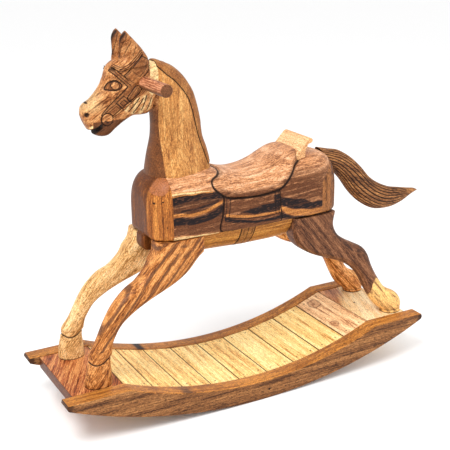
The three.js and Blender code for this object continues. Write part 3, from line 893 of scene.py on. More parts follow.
EAR_HOLLOW = {"x": -302, "height": 800, "y": 46, "radii": (26, 22, 34)}
MOUTH = [
    [-400, 596], [-386, 614], [-379, 621], [-364, 627], [-353, 635], [-353, 624], [-366, 613],
    [-376, 596],
]
HEAD_JOINT = -207


def scooped(p, bowl):
    """Presses an ellipsoid's bowl into both sides of the points."""
    reach, deep, tall = bowl["radii"]
    rim = 1 - ((p[:, 0] - bowl["x"]) / reach) ** 2 - ((p[:, 2] - bowl["height"]) / tall) ** 2
    wall = bowl["y"] - deep * np.sqrt(np.maximum(rim, 0))
    side = np.abs(p[:, 1])
    hit = (rim > 0) & (side > wall) & (side < bowl["y"] + deep)
    made = p.copy()
    made[hit, 1] = np.sign(p[hit, 1]) * wall[hit]
    return made


def ear(stations):
    rings = limb(stations, 90, 72)
    return skin(scooped(rings.reshape(-1, 3), EAR_HOLLOW).reshape(rings.shape))


mouth_blank = piece("mouth_blank", plate(soft_corners(MOUTH, 3), -60, 60, 0.1, 1))
bust = cut_away(piece("bust", skin(limb(HEAD, 160, 160, square=2.5))), mouth_blank)
neck_skin = skin(limb(NECK, 200, 200, taper=0.22))
join(bust, piece("rest", neck_skin, ear(EAR), ear(mirrored(EAR))))
fuse(bust, 1.25, 3)
print("bust", len(bust.data.polygons), "faces")

# %% [markdown]
# The bridle is carved on both cheeks: a headstall panel, a browband, a cheek strap with a rounded
# keeper, a square buckle and a round boss over the bit. The eye bulges between its lids and the
# forelock falls in curved locks over the brow. Each cut is listed once with its distance, then with
# the offset, strength and width that it has as relief and as a dark line.
# %% Head carving
HEADSTALL = [[-283, 755], [-257, 731], [-231, 757], [-230, 776], [-252, 787]]
BROWBAND = [[-325, 757], [-318, 762], [-277, 722], [-284, 714]]
CHEEK_STRAP = [
    [-257, 731], [-268, 742], [-292, 716], [-352, 656], [-340, 639], [-322, 655], [-262, 706],
    [-246, 722],
]
LOOP = [[-296, 745], [-279, 757], [-255, 731], [-276, 717]]
TACK = (HEADSTALL, BROWBAND, CHEEK_STRAP, LOOP)
KEEPER = [[-283, 692], [-268, 711]]
BUCKLE_RIM = [[-302, 698], [-283, 682], [-299, 664], [-318, 682]]
BUCKLE_SLOT = [[-301, 690], [-291, 681], [-300, 672], [-310, 681]]
LOWER_PANEL = [[-316, 681], [-299, 663], [-328, 644], [-344, 661]]
PANEL_INLAYS = [
    [[-317, 674], [-307, 664], [-328, 650], [-337, 659], [-317, 674]],
    [[-275, 753], [-259, 740], [-241, 757], [-239, 774]], [[-296, 743], [-280, 753]],
    [[-291, 740], [-277, 728]],
]
BIT = {"x": -340, "height": 644}
BIT_RADIUS = 14
EYE_OUTLINE = rounded([
    [-340, 715], [-334, 726], [-326, 733], [-317, 735], [-309, 730], [-304, 723], [-309, 716],
    [-317, 712.5], [-326, 712.5], [-334, 713.5],
], 5, loop=True)
EYE_BALL = {"x": -320, "height": 724}
BROW = rounded([[-345, 739], [-339, 749], [-331, 757], [-320, 757], [-301, 738], [-283, 721]])
LIDS = rounded([[-343, 715], [-338, 730], [-329, 740], [-315, 739], [-305, 732], [-299, 722]])
CHEEK_LINE = rounded([[-303, 721], [-312, 707], [-321, 686]])
CRACKS = [
    [[-243, 694], [-254, 659]], [[-252, 688], [-274, 654]], [[-229, 686], [-239, 658]],
    [[-262, 690], [-286, 658]],
]
EAR_SLIT = rounded([[-288, 842], [-299, 828], [-303, 810], [-302, 790]])
EAR_LINES = [
    [[-285, 838], [-293, 816], [-299, 795]], [[-277, 824], [-283, 806], [-291, 788]],
    [[-266, 812], [-274, 790]],
]
LOCKS = rounded([[-330, 772], [-323, 764], [-306, 754], [-285, 758], [-262, 778], [-250, 790]])
LOCK_PITCH = 4.4
LIP = rounded([[-346, 641], [-338, 636]])
TEETH = [[-379, 627], [-371, 632], [-364, 636]]
NOSTRIL = {"x": -388, "height": 659, "y": 25, "radii": (6.5, 8, 6.5)}
MANE_LINE = rounded([
    [-207, 759], [-183, 737], [-164, 722], [-148, 705], [-133, 686], [-120, 661], [-110, 620],
    [-103, 588], [-94, 556], [-75, 501],
])
MANE_FROM = 500
FACE_BACK = -222
NECK_FOOT = 474


def tack_edge(q):
    return np.maximum.reduce([inside(q, strap) for strap in TACK])


def tack_cuts(q):
    keeper = near(q, KEEPER)
    return [
        (tack_edge(q), (1.2, 1.6, 1.5), (1.0, 0.85, 1.3)),
        (keeper, (-4.4, 1.4, 1.2), (-4.4, 0.6, 1.0)),
        (keeper, (-9.6, 1.3, 1.3), (-9.4, 0.8, 1.2)),
        (inside(q, LOWER_PANEL), (0, 1.3, 1.3), (0, 0.7, 1.1)),
    ] + [(near(q, inlay), (0, 1.2, 1.2), (0, 0.6, 1.0)) for inlay in PANEL_INLAYS]


def face_cuts(q):
    return [
        (around(q, BIT) - BIT_RADIUS, (-1, 1.6, 1.5), (-0.6, 0.9, 1.3)),
        (inside(q, EYE_OUTLINE), (0.4, 2.2, 1.5), (0.2, 1.3, 1.3)),
        (near(q, LIDS), (0, 1.0, 1.5), (0, 0.4, 1.2)),
        (near(q, BROW), (0, 0.7, 1.3), (0, 0.7, 1.2)),
        (near(q, CHEEK_LINE), (0, 1.0, 1.6), (0, 0.55, 1.4)),
        (near(q, EAR_SLIT), (0, 2.0, 2.6), (0, 0.85, 3.0)),
        (near(q, LIP), (0, 0.8, 1.5), (0, 0.8, 1.6)),
    ] + [(near(q, crack), (0, 1.4, 1.4), (0, 1.0, 1.4)) for crack in CRACKS] + [
        (near(q, line), (0, 0.9, 1.3), (0, 0.6, 1.2)) for line in EAR_LINES]


def strengths(cuts, column):
    """Each cut's strength at each point, as relief in column 1 and as a dark line in column 2."""
    made = []
    for cut in cuts:
        offset, strength, width = cut[column]
        made.append(strength * cut_line(cut[0] + offset, width))
    return made


def combed_locks(q):
    """Distance to the forelock's line, whether a point lies below it, and the comb's waves."""
    lock = near(q, LOCKS)
    below = inside(q, np.vstack([LOCKS, [[-250, 830], [-340, 830]]])) > -2
    return lock, below, (0.5 - 0.5 * np.cos(lock * 2 * np.pi / LOCK_PITCH)) * (lock < 14)


def mane_side(q):
    """Distance to the mane's edge, positive on the mane."""
    return inside(q, np.vstack([MANE_LINE, [[-20, 501], [-20, 830], [-207, 830]]]))


def on_neck(p):
    return (p[:, 0] > HEAD_JOINT - 1) & (p[:, 2] > MANE_FROM)


def head_carving(p, n):
    q = p[:, [0, 2]]
    boss = around(q, BIT)
    keeper = near(q, KEEPER)
    depth = 2.2 * ramp(tack_edge(q), -0.7, 0.9) + 1.4 * (1 - ramp(keeper, 7.2, 8.8))
    depth += 1.3 * ramp(inside(q, BUCKLE_RIM), -0.5, 0.9)
    depth -= 2.4 * ramp(inside(q, BUCKLE_SLOT), -0.5, 0.8) + sum(strengths(tack_cuts(q), 1))
    depth *= ramp(boss, BIT_RADIUS, BIT_RADIUS + 1.5)
    depth += 2.6 * (1 - ramp(boss, BIT_RADIUS - 1, BIT_RADIUS + 0.8)) * ramp(boss, -1, 12)
    ball = np.sqrt(np.clip(1 - (around(q, EYE_BALL) / 11.5) ** 2, 0, 1))
    depth += 3.4 * ball * ramp(inside(q, EYE_OUTLINE), -0.5, 1.5)
    depth -= sum(strengths(face_cuts(q), 1))
    lock, below, comb = combed_locks(q)
    depth += np.exp(-((lock / 11) ** 2)) * below * (2.0 - 2.2 * comb)
    crest = mane_side(q)
    hair = 0.35 * np.cos(crest * 1.15 + 1.2 * np.sin(p[:, 2] / 23)) * ramp(crest, 4, 9)
    mane = 1.8 * ramp(crest, -0.6, 2.0) - 1.5 * cut_line(crest + 1.0, 1.4)
    cheek = ramp(np.abs(n[:, 1]), 0.15, 0.5) * (p[:, 0] < FACE_BACK)
    return depth * cheek + on_neck(p) * (mane + hair * ramp(crest, 0, 3))


relief(bust, head_carving)
reshape(bust, lambda p: scooped(p, NOSTRIL))
head = copy_of(bust, "head_carved")
saw(head, (HEAD_JOINT - HALF_GAP, 0, 0), (1, 0, 0))
neck = bust
neck.name = "neck_carved"
saw(neck, (HEAD_JOINT + HALF_GAP, 0, 0), (-1, 0, 0))
for board in (head, neck):
    saw(board, (0, 0, NECK_FOOT), (0, 0, -1))
    finish_mesh(board.data, 60)
print("head", len(head.data.polygons), "neck", len(neck.data.polygons), "faces")

# %% [markdown]
# The head's figure: a pale sapwood band just in front of the neck's joint, golden streaks on the
# jowl with a few dark cracks, pale teeth, a dark throat, darker straps and mane, and small knots
# on the brow. Painted shade darkens the open mouth, the nostrils, the ear hollows and all the
# carved cuts.
# %% Head figure
PALE_BAND = [
    [-228, 800], [-212, 800], [-206, 759], [-208, 727], [-216, 700], [-224, 690], [-236, 700],
    [-229, 745],
]
JOWL = [
    [-245, 697], [-223, 691], [-227, 664], [-240, 648], [-262, 646], [-288, 650], [-301, 662],
    [-286, 680], [-263, 696],
]
BROW_KNOTS = [(-328, 772, 5), (-305, 790, 4), (-318, 762, 4), (-384, 686, 3.5)]
PUPIL = 9
TOOTH = 3


# Painted shade in the carved lines, the combed locks, the mane's edge, the nostrils and the open
# mouth; the pupil ring and brow knots are the head's own dark.
def head_cuts(p):
    q = p[:, [0, 2]]
    boss = around(q, BIT)
    buckle = [(inside(q, BUCKLE_RIM), (), (0.6, 0.8, 1.2)),
              (inside(q, BUCKLE_SLOT), (), (-0.5, 0.8, 1.2))]
    clear = ramp(boss, BIT_RADIUS, BIT_RADIUS + 1.5)
    lines = [line * clear for line in strengths(tack_cuts(q) + buckle, 2)]
    lines += strengths(face_cuts(q), 2)
    lines.append(0.8 * cut_line(around(q, EYE_BALL) - PUPIL, 1.1))
    lock, below, comb = combed_locks(q)
    lines.append(0.9 * comb**2 * below)
    line = np.maximum.reduce(lines) * (np.abs(p[:, 1]) > 12) * (p[:, 0] < FACE_BACK)
    hole = np.exp(-((around(q, NOSTRIL) / 5.5) ** 4)) * (np.abs(p[:, 1]) > 6) * (p[:, 0] < -376)
    tooth = near(q, TEETH) < TOOTH
    mouth = ramp(inside(q, MOUTH), -2.5, -0.5) * (1 - 0.85 * tooth) * (boss > BIT_RADIUS)
    knot = 0.8 * knots(p, BROW_KNOTS) * (np.abs(p[:, 1]) < 36)
    mane_cut = cut_line(mane_side(q) + 0.8, 1.5) * on_neck(p)
    return np.maximum.reduce([line, hole, mouth, knot, mane_cut])


def head_pale(p):
    q = p[:, [0, 2]]
    streak = 0.65 + 0.35 * np.sin(p[:, 0] * 0.31 - 0.05 * p[:, 2])
    jowl = 0.75 * streak * ramp(inside(q, JOWL), -2, 4)
    muzzle = 0.5 * (1 - ramp(p[:, 0], -372, -322)) * ramp(p[:, 2], 646, 676)
    eye_ball = 0.2 * (around(q, EYE_BALL) < PUPIL)
    tooth = 1.0 * (near(q, TEETH) < TOOTH)
    band = ramp(inside(q, PALE_BAND), -2.5, 2)
    return np.maximum.reduce([band, eye_ball, muzzle, tooth, jowl]) * (p[:, 0] < HEAD_JOINT + 0.1)


def head_heart(p):
    q = p[:, [0, 2]]
    x, height = p[:, 0], p[:, 2]
    throat = 0.66 * ramp(-height, -662, -640) * (x < HEAD_JOINT + 0.1) * (x > -250)
    jaw = 0.72 * (height < 640) * (x > -375) * (x < -262) * (inside(q, MOUTH) < -1)
    mane = 0.33 * ramp(mane_side(q), -1, 3) * on_neck(p)
    tack = 0.3 * ramp(tack_edge(q), -1, 1) * (around(q, BIT) > BIT_RADIUS) * (x < FACE_BACK)
    ear_shade = np.maximum(0.5 * cut_line(near(q, EAR_SLIT), 8), 0.16 * ramp(x, -300, -288))
    eye_white = 0.4 * ramp(inside(q, EYE_OUTLINE), -1, 1) * (around(q, EYE_BALL) > PUPIL)
    return np.maximum.reduce([throat, jaw, mane, tack, ear_shade * (height > 784), eye_white])


for board in (head, neck):
    marks(board, cuts=head_cuts, pale=head_pale, heart=head_heart)
print("head figure painted")

# %% [markdown]
# The base: two rockers sawn from thick boards, nine slats laid across them in the valley, and a
# wider board under each pair of hooves. The slats lie on an arc, each sawn along the arc's radius.
# %% Base sizes
DECK_HEIGHT, ROCKER_RADIUS, ROCKER_THICKNESS = 128, 1312, 44.5
ROCKER_HALF, DECK_HALF, END_BOARD = 535, 506, 134
VALLEY_DEPTH, TIP_DROP, DECK_WIDTH, BOARD_SET = 75, 12, 247, 2
SLATS, SLAT_THICKNESS, SLAT_GAP, END_THICKNESS = 9, 18, 1.6, 30
valley_half = DECK_HALF - END_BOARD
valley_radius = (valley_half**2 + VALLEY_DEPTH**2) / (2 * VALLEY_DEPTH)
valley_centre = DECK_HEIGHT - VALLEY_DEPTH + valley_radius
valley_sweep = math.asin(valley_half / valley_radius)


def on_floor(points):
    return np.asarray(points, float) - (0, HOOF_LEVEL)


def own_places(made, centre, along, seed):
    """Stores where each point lies on its own board, in metres, and a seed for its own figure."""
    mesh = made.data
    p = read_vectors(mesh.vertices, "co") - placed([centre])[0]
    ahead = np.array([math.cos(along), 0, math.sin(along)])
    upward = np.array([-math.sin(along), 0, math.cos(along)])
    local = np.stack([p @ ahead, p[:, 1], p @ upward], -1)
    layer = mesh.attributes.new("own", "FLOAT_VECTOR", "POINT")
    layer.data.foreach_set("vector", local.ravel())
    marks(made, seed=seed)


print("valley radius", round(valley_radius), "mm")

# %% [markdown]
# The rocker's outline is two arcs and two rounded tips. Each board keeps its own places, so its
# grain can be laid along it whatever its slope, and a seed of its own sets its tone.
# %% Rockers and deck
TIP = ((0, TIP_DROP * 0.7), (0.8, TIP_DROP * 0.35), (3, 0.0))
SLAT_SEEDS = [0.45, 0.3, 0.55, 0.7, 0.4, 0.85, 0.65, 0.5, 0.5]
ROCKER_SEEDS = (0.4, 0.6)
END_SEED = 0.5


def arc(radius, centre, sweep, count):
    return [(radius * math.sin(a), centre - radius * math.cos(a))
            for a in np.linspace(-sweep, sweep, count)]


sweep = math.asin((ROCKER_HALF - TIP_DROP / 3) / ROCKER_RADIUS)
under = arc(ROCKER_RADIUS, ROCKER_RADIUS, sweep, 140)
valley = arc(valley_radius, valley_centre, valley_sweep, 90)[::-1]
tip = [(ROCKER_HALF - back, DECK_HEIGHT - down) for back, down in TIP]
rocker_outline = on_floor(under + tip + valley + [(-x, z) for x, z in reversed(tip)])
inner, outer = DECK_WIDTH / 2, DECK_WIDTH / 2 + ROCKER_THICKNESS
rocker_left = piece("rocker_left_board", plate(rocker_outline, -outer, -inner, 2.2), sharp=30)
rocker_right = piece("rocker_right_board", plate(rocker_outline, inner, outer, 2.2), sharp=30)
own_places(rocker_left, (0, -inner, 0), 0, ROCKER_SEEDS[0])
own_places(rocker_right, (0, inner, 0), 0, ROCKER_SEEDS[1])


def deck_joint(number, depth, shift):
    radius = valley_radius + BOARD_SET + depth
    angle = 2 * valley_sweep * (number / SLATS - 0.5) + shift / radius
    return [radius * math.sin(angle), valley_centre - radius * math.cos(angle)]


def deck_board(name, corners, softness):
    half_width = DECK_WIDTH / 2 - GLUE_GAP
    outline = soft_corners(on_floor(corners), softness)
    return piece(name, plate(outline, -half_width, half_width, 0.8), sharp=30)


slats = []
half_slot = SLAT_GAP / 2
for number, seed in enumerate(SLAT_SEEDS):
    corners = [
        deck_joint(number, 0, half_slot), deck_joint(number, SLAT_THICKNESS, half_slot),
        deck_joint(number + 1, SLAT_THICKNESS, -half_slot), deck_joint(number + 1, 0, -half_slot),
    ]
    slat = deck_board(f"slat_{number + 1}", corners, 1.2)
    (ax, az), (bx, bz) = on_floor([corners[0], corners[3]])
    slope = math.atan2(bz - az, bx - ax)
    own_places(slat, ((ax + bx) / 2, 0, (az + bz) / 2), slope, seed)
    slats.append(slat)


def end_board(name, way):
    top = DECK_HEIGHT - BOARD_SET
    bottom = top - END_THICKNESS
    x, z = deck_joint(SLATS, 0, half_slot)
    low_x, low_z = deck_joint(SLATS, END_THICKNESS, half_slot)
    slope = (x - low_x) / (z - low_z)
    corners = [[DECK_HALF, top], [DECK_HALF, bottom], [x - slope * END_THICKNESS, bottom], [x, top]]
    made = deck_board(name, [[way * a, b] for a, b in corners], 1.5)
    own_places(made, (way * (DECK_HALF + x) / 2, 0, top - HOOF_LEVEL), 0, END_SEED)
    return made


front_board = end_board("front_board_planed", -1)
rear_board = end_board("rear_board_planed", 1)
print("slats", len(slats))

# %% [markdown]
# The left hind leg is grey-brown down to the pastern, where a tongue of pale sapwood takes over.
# The left foreleg has slanted streaks of darker wood above its hoof.
# %% Leg figure
PALE_PASTERN = [
    [413, 116], [401, 100], [397, 66], [408, 34], [424, 8], [430, -8], [540, -8], [540, 90],
    [446, 96],
]


def leg_streaks(p):
    slant = (p[:, 0] * 0.55 - p[:, 2] * 0.5) * 0.34 + 1.2
    return 0.5 * ramp(0.5 + 0.5 * np.sin(slant), 0.7, 1.0) * (p[:, 2] > 90)


repaint(hind_leg_left, 1, lambda p: ramp(inside(p[:, [0, 2]], PALE_PASTERN), -2, 3))
repaint(foreleg_left, 2, leg_streaks)
print("pastern painted")

# %% [markdown]
# Finishes are built from nodes. A wire wraps a socket, so shader sums read like ordinary sums, and
# one recipe method makes any node from its type, its settings and its inputs.
# %% Shader words
class Wire:
    def __init__(self, recipe, socket):
        self.recipe, self.socket = recipe, socket

    def maths(self, operation, other=0.0):
        return self.recipe.node("ShaderNodeMath", {"operation": operation}, {0: self, 1: other})

    def __add__(self, other):
        return self.maths("ADD", other)

    def __sub__(self, other):
        return self.maths("SUBTRACT", other)

    def __mul__(self, other):
        return self.maths("MULTIPLY", other)

    def __truediv__(self, other):
        return self.maths("DIVIDE", other)

    def __rsub__(self, other):
        return self * -1 + other

    __radd__ = __add__
    __rmul__ = __mul__

    def ramp(self, low, high):
        smooth = {"interpolation_type": "SMOOTHSTEP"}
        return self.recipe.node("ShaderNodeMapRange", smooth, {0: self, 1: low, 2: high})


class Recipe:
    def __init__(self, name):
        self.material = bpy.data.materials.new(name)
        self.material.use_nodes = True
        self.tree = self.material.node_tree
        self.surface = self.tree.nodes["Principled BSDF"]

    def feed(self, socket, value):
        if isinstance(value, Wire):
            self.tree.links.new(value.socket, socket)
        else:
            socket.default_value = value

    def finish(self, **values):
        """Sets the surface's sockets, named with _ for each space."""
        for name, value in values.items():
            self.feed(self.surface.inputs[name.replace("_", " ")], value)

    def node(self, kind, settings=None, inputs=None, out=0):
        made = self.tree.nodes.new(kind)
        for key, value in (settings or {}).items():
            setattr(made, key, value)
        for key, value in (inputs or {}).items():
            self.feed(made.inputs[key], value)
        return Wire(self, made.outputs[out])

    def painted(self, name, out=0):
        return self.node("ShaderNodeAttribute", {"attribute_name": name}, out=out)

    def vector(self, operation, *inputs):
        settings = {"operation": operation}
        return self.node("ShaderNodeVectorMath", settings, dict(enumerate(inputs)))

    def rotated(self, place, turn):
        return self.node("ShaderNodeMapping", None, {"Vector": place, "Rotation": turn})

    def mix(self, amount, first, second, blend="MIX"):
        settings = {"data_type": "RGBA", "blend_type": blend}
        return self.node("ShaderNodeMix", settings, {0: amount, 6: first, 7: second}, out=2)

    def noise(self, place, along, across, detail, rough):
        """Noise with its own number of waves in a metre along and across the grain."""
        stretched = self.vector("MULTIPLY", place, (along, across, across))
        inputs = {"Vector": stretched, "Scale": 1.0, "Detail": detail, "Roughness": rough}
        return self.node("ShaderNodeTexNoise", None, inputs)

    def parts_of(self, vector):
        return [self.node("ShaderNodeSeparateXYZ", None, {0: vector}, out=i) for i in range(3)]


def tone(code):
    """An sRGB colour code as a linear colour."""
    parts = [int(code[i:i + 2], 16) / 255 for i in (0, 2, 4)]
    return (*[p / 12.92 if p < 0.04045 else ((p + 0.055) / 1.055) ** 2.4 for p in parts], 1.0)


print("tan", [round(c, 3) for c in tone("b8814d")])

# %% [markdown]
# All the woods share one recipe. Growth rings are circles about a pith line, bent by slow noise and
# cut by the surface, so the figure runs on round every edge as in real timber. Long fibres, short
# dark pores and slow blotches are laid over them, and a fine grit breaks up the tone. Sapwood,
# heartwood and painted shade come from the marks: the shade is dark in the carved cuts and brown
# where the heartwood mark stands for it. The varnish is satin, a little rougher along the fibres.
# %% Wood recipe
DARK_CUT = tone("1c0e08")
SEED_STEP = (7.3, 3.1, 5.7)
COAT, COAT_ROUGHNESS, SPECULAR = 0.06, 0.28, 0.12


def wood(slot, tones, turn=(0, 0, 0), pith=(0.25, 0.4), rings=55, bend=1.6, contrast=0.55,
         pores=0.5, own=False, pale="e9c98f", brown="6e452a", heart="221712", extra=None,
         rough=0.45):
    r = Recipe(slot)
    light, middle, dark = map(tone, tones.split())
    cut, sap, core = r.parts_of(r.painted("marks"))
    seed = r.painted("marks", out=3)
    start = r.painted("own", out=1) if own else r.node("ShaderNodeTexCoord", out=3)
    shifted = r.vector("MULTIPLY_ADD", seed, SEED_STEP, start) if own else start
    place = r.rotated(shifted, turn)
    along, across, up = r.parts_of(r.rotated(start, turn))
    slow = r.noise(place, 1.8, 9, 2.0, 0.5) - 0.5
    blotch = r.noise(place, 5, 18, 3.0, 0.6) - 0.5
    coarse = r.noise(place, 5, 85, 3.0, 0.55)
    fibre = r.noise(place, 8, 260, 3.0, 0.6)
    fleck = r.noise(place, 60, 430, 2.0, 0.65)
    grit = r.noise(place, 260, 380, 1.0, 0.5)
    pore = r.noise(place, 85, 430, 1.0, 0.4).ramp(0.59, 0.67) * pores

    away_y, away_z = across - pith[0], up - pith[1]
    distance = (away_y * away_y + away_z * away_z).maths("SQRT")
    wander = (slow * bend + seed) * 2.0 + (coarse - 0.5) * 0.6
    wave = (distance * rings + wander) * 2 * math.pi
    ring = (wave.maths("SINE") * 0.5 + 0.5).maths("POWER", 1.6)
    lines = (coarse - 0.5) * 1.3 + (fibre - 0.5) * 2.4 + (fleck - 0.5) * 1.3
    figure = ring * 0.4 + lines + blotch * 0.8
    level = (figure - 0.13) * contrast * 1.9 + (seed - 0.5) * 0.5 + 0.5
    colour = r.mix(level.ramp(-0.05, 0.5), dark, middle)
    colour = r.mix(level.ramp(0.45, 1.05), colour, light)

    rag = (fibre - 0.5) * 0.7 + (coarse - 0.5) * 0.7
    sap_level = (coarse + fibre * 0.7 + fleck * 0.4).ramp(0.95, 1.4)
    sap_edge = (sap + rag * sap * (1 - sap) * 4).ramp(0.05, 0.95)
    colour = r.mix(sap_edge, colour, r.mix(sap_level, tone(pale), middle))
    streak = coarse * 0.7 + fibre * 1.0 + fleck * 0.6 + ring * 0.15
    brown_colour = r.mix(streak.ramp(1.2, 1.65), tone(brown), middle)
    dark_colour = r.mix(streak.ramp(1.25, 1.7), tone(heart), tone(brown))
    # The blue mark: heartwood, and painted shade where it stands for shade.
    core_edge = core + rag * core * (1 - core) * 3.2
    colour = r.mix(core_edge.ramp(0.0, 0.5), colour, brown_colour)
    colour = r.mix(core_edge.ramp(0.55, 0.95), colour, dark_colour)
    if extra:
        colour = extra(r, colour, start, coarse, fibre)
    colour = r.mix(pore * 0.8, colour, dark)
    gritty = (fleck - 0.5) * 0.8 + (grit - 0.5) * 1.5 + 0.97
    colour = r.mix(1.0, colour, gritty, "MULTIPLY")
    # The red mark: painted shade in the carved cuts and hollows, and a few dark knots.
    colour = r.mix(cut.ramp(0.0, 0.8) * 0.96, colour, DARK_CUT)

    height = fibre * 0.6 + coarse * 0.4 - pore * 0.8
    bump = {"Strength": 0.4, "Distance": 0.0014, "Height": height}
    r.finish(Base_Color=colour, Roughness=(fibre - 0.5) * 0.35 + rough + cut * 0.25,
             Coat_Weight=COAT, Coat_Roughness=COAT_ROUGHNESS, Specular_IOR_Level=SPECULAR,
             Normal=r.node("ShaderNodeBump", None, bump))
    return r.material


print("recipe ready")

# %% [markdown]
# Some boards have details of their own. The slats have four small nail heads, and their side faces,
# which lie in the gaps between slats, are darkened with painted shade; the pinkish slat also has two
# knots with rings. The front board's front edge is dark. The rear board turns from brown heartwood
# to pale sapwood along a slanted line, with one small knot. The rockers have dark end grain at their
# tips and a warmer, lighter top edge, partly the wood's own tone and partly painted light, with a
# small knot low on the outside of the left one and a dark notch in the upper edge of the right one.
# Amber streaks follow the weak green marks of the barrel.
# %% Deck details
SLAT_SIDE = (0.0401, 0.0414)
NAILS = [(x, y) for x in (-0.022, 0.024) for y in (-0.108, 0.108)]
NAIL_RADIUS = 0.0022
SLAT_KNOTS = ((-0.004, 0.082, 0.026), (-0.022, -0.052, 0.016))
SAP_TURN = (0.88, 0.478)
REAR_KNOT = (-0.021, 0.001, 0.0035)
FRONT_EDGE = (0.0648, 0.0662)
TIP_FROM = (0.514, 0.524)
NOTCH_STRETCH = 0.45
ROCKER_SPOTS = ((0.0237, -0.1005, 0.0035, -1, 0.04), (-0.21, -0.044, 0.008, 1, 0.001))


def spot(r, start, x, y, radius, squash=1.0):
    px, py, pz = r.parts_of(start)
    dx, dy = (px - x) * squash, py - y
    return (dx * dx + dy * dy).maths("SQRT") / radius


def nails(r, colour, start, coarse, fibre):
    # Side faces, lying in the gaps between slats, are darkened with painted shade.
    side = r.parts_of(start)[0].maths("ABSOLUTE").ramp(*SLAT_SIDE)
    colour = r.mix(side * 0.9, colour, tone("4a2c14"))
    for x, y in NAILS:
        nail = 1 - spot(r, start, x, y, NAIL_RADIUS).ramp(0.8, 1.3)
        colour = r.mix(nail, colour, tone("6a4320"))
    return colour


def amber(r, colour, start, coarse, fibre):
    sap = r.parts_of(r.painted("marks"))[1]
    band = sap.ramp(0.08, 0.22) * (1 - sap.ramp(0.4, 0.7))
    honey = r.mix((coarse + fibre).ramp(0.8, 1.25), tone("8a4e1e"), tone("c8823c"))
    return r.mix(band * 0.85, colour, honey)


def dark_edge(r, colour, start, coarse, fibre):
    front = (r.parts_of(start)[0] * -1).ramp(*FRONT_EDGE)
    return r.mix(front * 0.85, colour, tone("4a2413"))


def knotted(r, colour, start, coarse, fibre):
    for x, y, size in SLAT_KNOTS:
        away = spot(r, start, x, y, size, 1.4) + (coarse - 0.5) * 1.2
        ring = 1 - ((away - 0.85).maths("ABSOLUTE")).ramp(0.0, 0.16)
        for amount, code in ((ring * 0.85, "4a2618"), ((1 - away.ramp(0.15, 0.4)) * 0.7, "6b3d28"),
                             ((1 - away.ramp(0.5, 1.6)) * 0.5, "a0643c")):
            colour = r.mix(amount, colour, tone(code))
    return nails(r, colour, start, coarse, fibre)


def half_sap(r, colour, start, coarse, fibre):
    px, py, pz = r.parts_of(start)
    side = px * SAP_TURN[0] - (py - 0.072) * SAP_TURN[1] + (coarse - 0.5) * 0.05
    sapwood = r.mix((coarse + fibre * 0.5).ramp(0.5, 1.0), tone("ffe6b8"), tone("eec083"))
    colour = r.mix(side.ramp(-0.03, -0.008), colour, sapwood)
    return r.mix(1 - spot(r, start, *REAR_KNOT).ramp(0.7, 1.2), colour, tone("3b2416"))


def tip_grain(r, colour, start, coarse, fibre):
    px, py, pz = r.parts_of(start)
    end = (px.maths("ABSOLUTE") + (coarse - 0.5) * 0.02).ramp(*TIP_FROM)
    colour = r.mix(end * 0.88, colour, tone("331a0e"))
    for x, height, size, side, face in ROCKER_SPOTS:
        dx, dz = (px - x) * (NOTCH_STRETCH if side > 0 else 1), pz - height
        away = (dx * dx + dz * dz).maths("SQRT") / size + (coarse - 0.5) * 0.6
        hole = 1 - away.ramp(0.7, 1.3)
        colour = r.mix(hole * (py * side).ramp(face - 0.001, face), colour, tone("26130a"))
    # Faces turned upwards are warmer and lighter: partly the wood's own tone, partly painted light.
    facing = r.node("ShaderNodeNewGeometry", out=1)
    top = r.parts_of(facing)[2].ramp(0.55, 0.8)
    warm_top_and_light = r.mix((coarse * 0.8 + fibre * 0.7).ramp(0.5, 1.0), tone("8c4f1e"), tone("d88f40"))
    return r.mix(top * 0.85 * (1 - hole), colour, warm_top_and_light)


print("deck details ready")

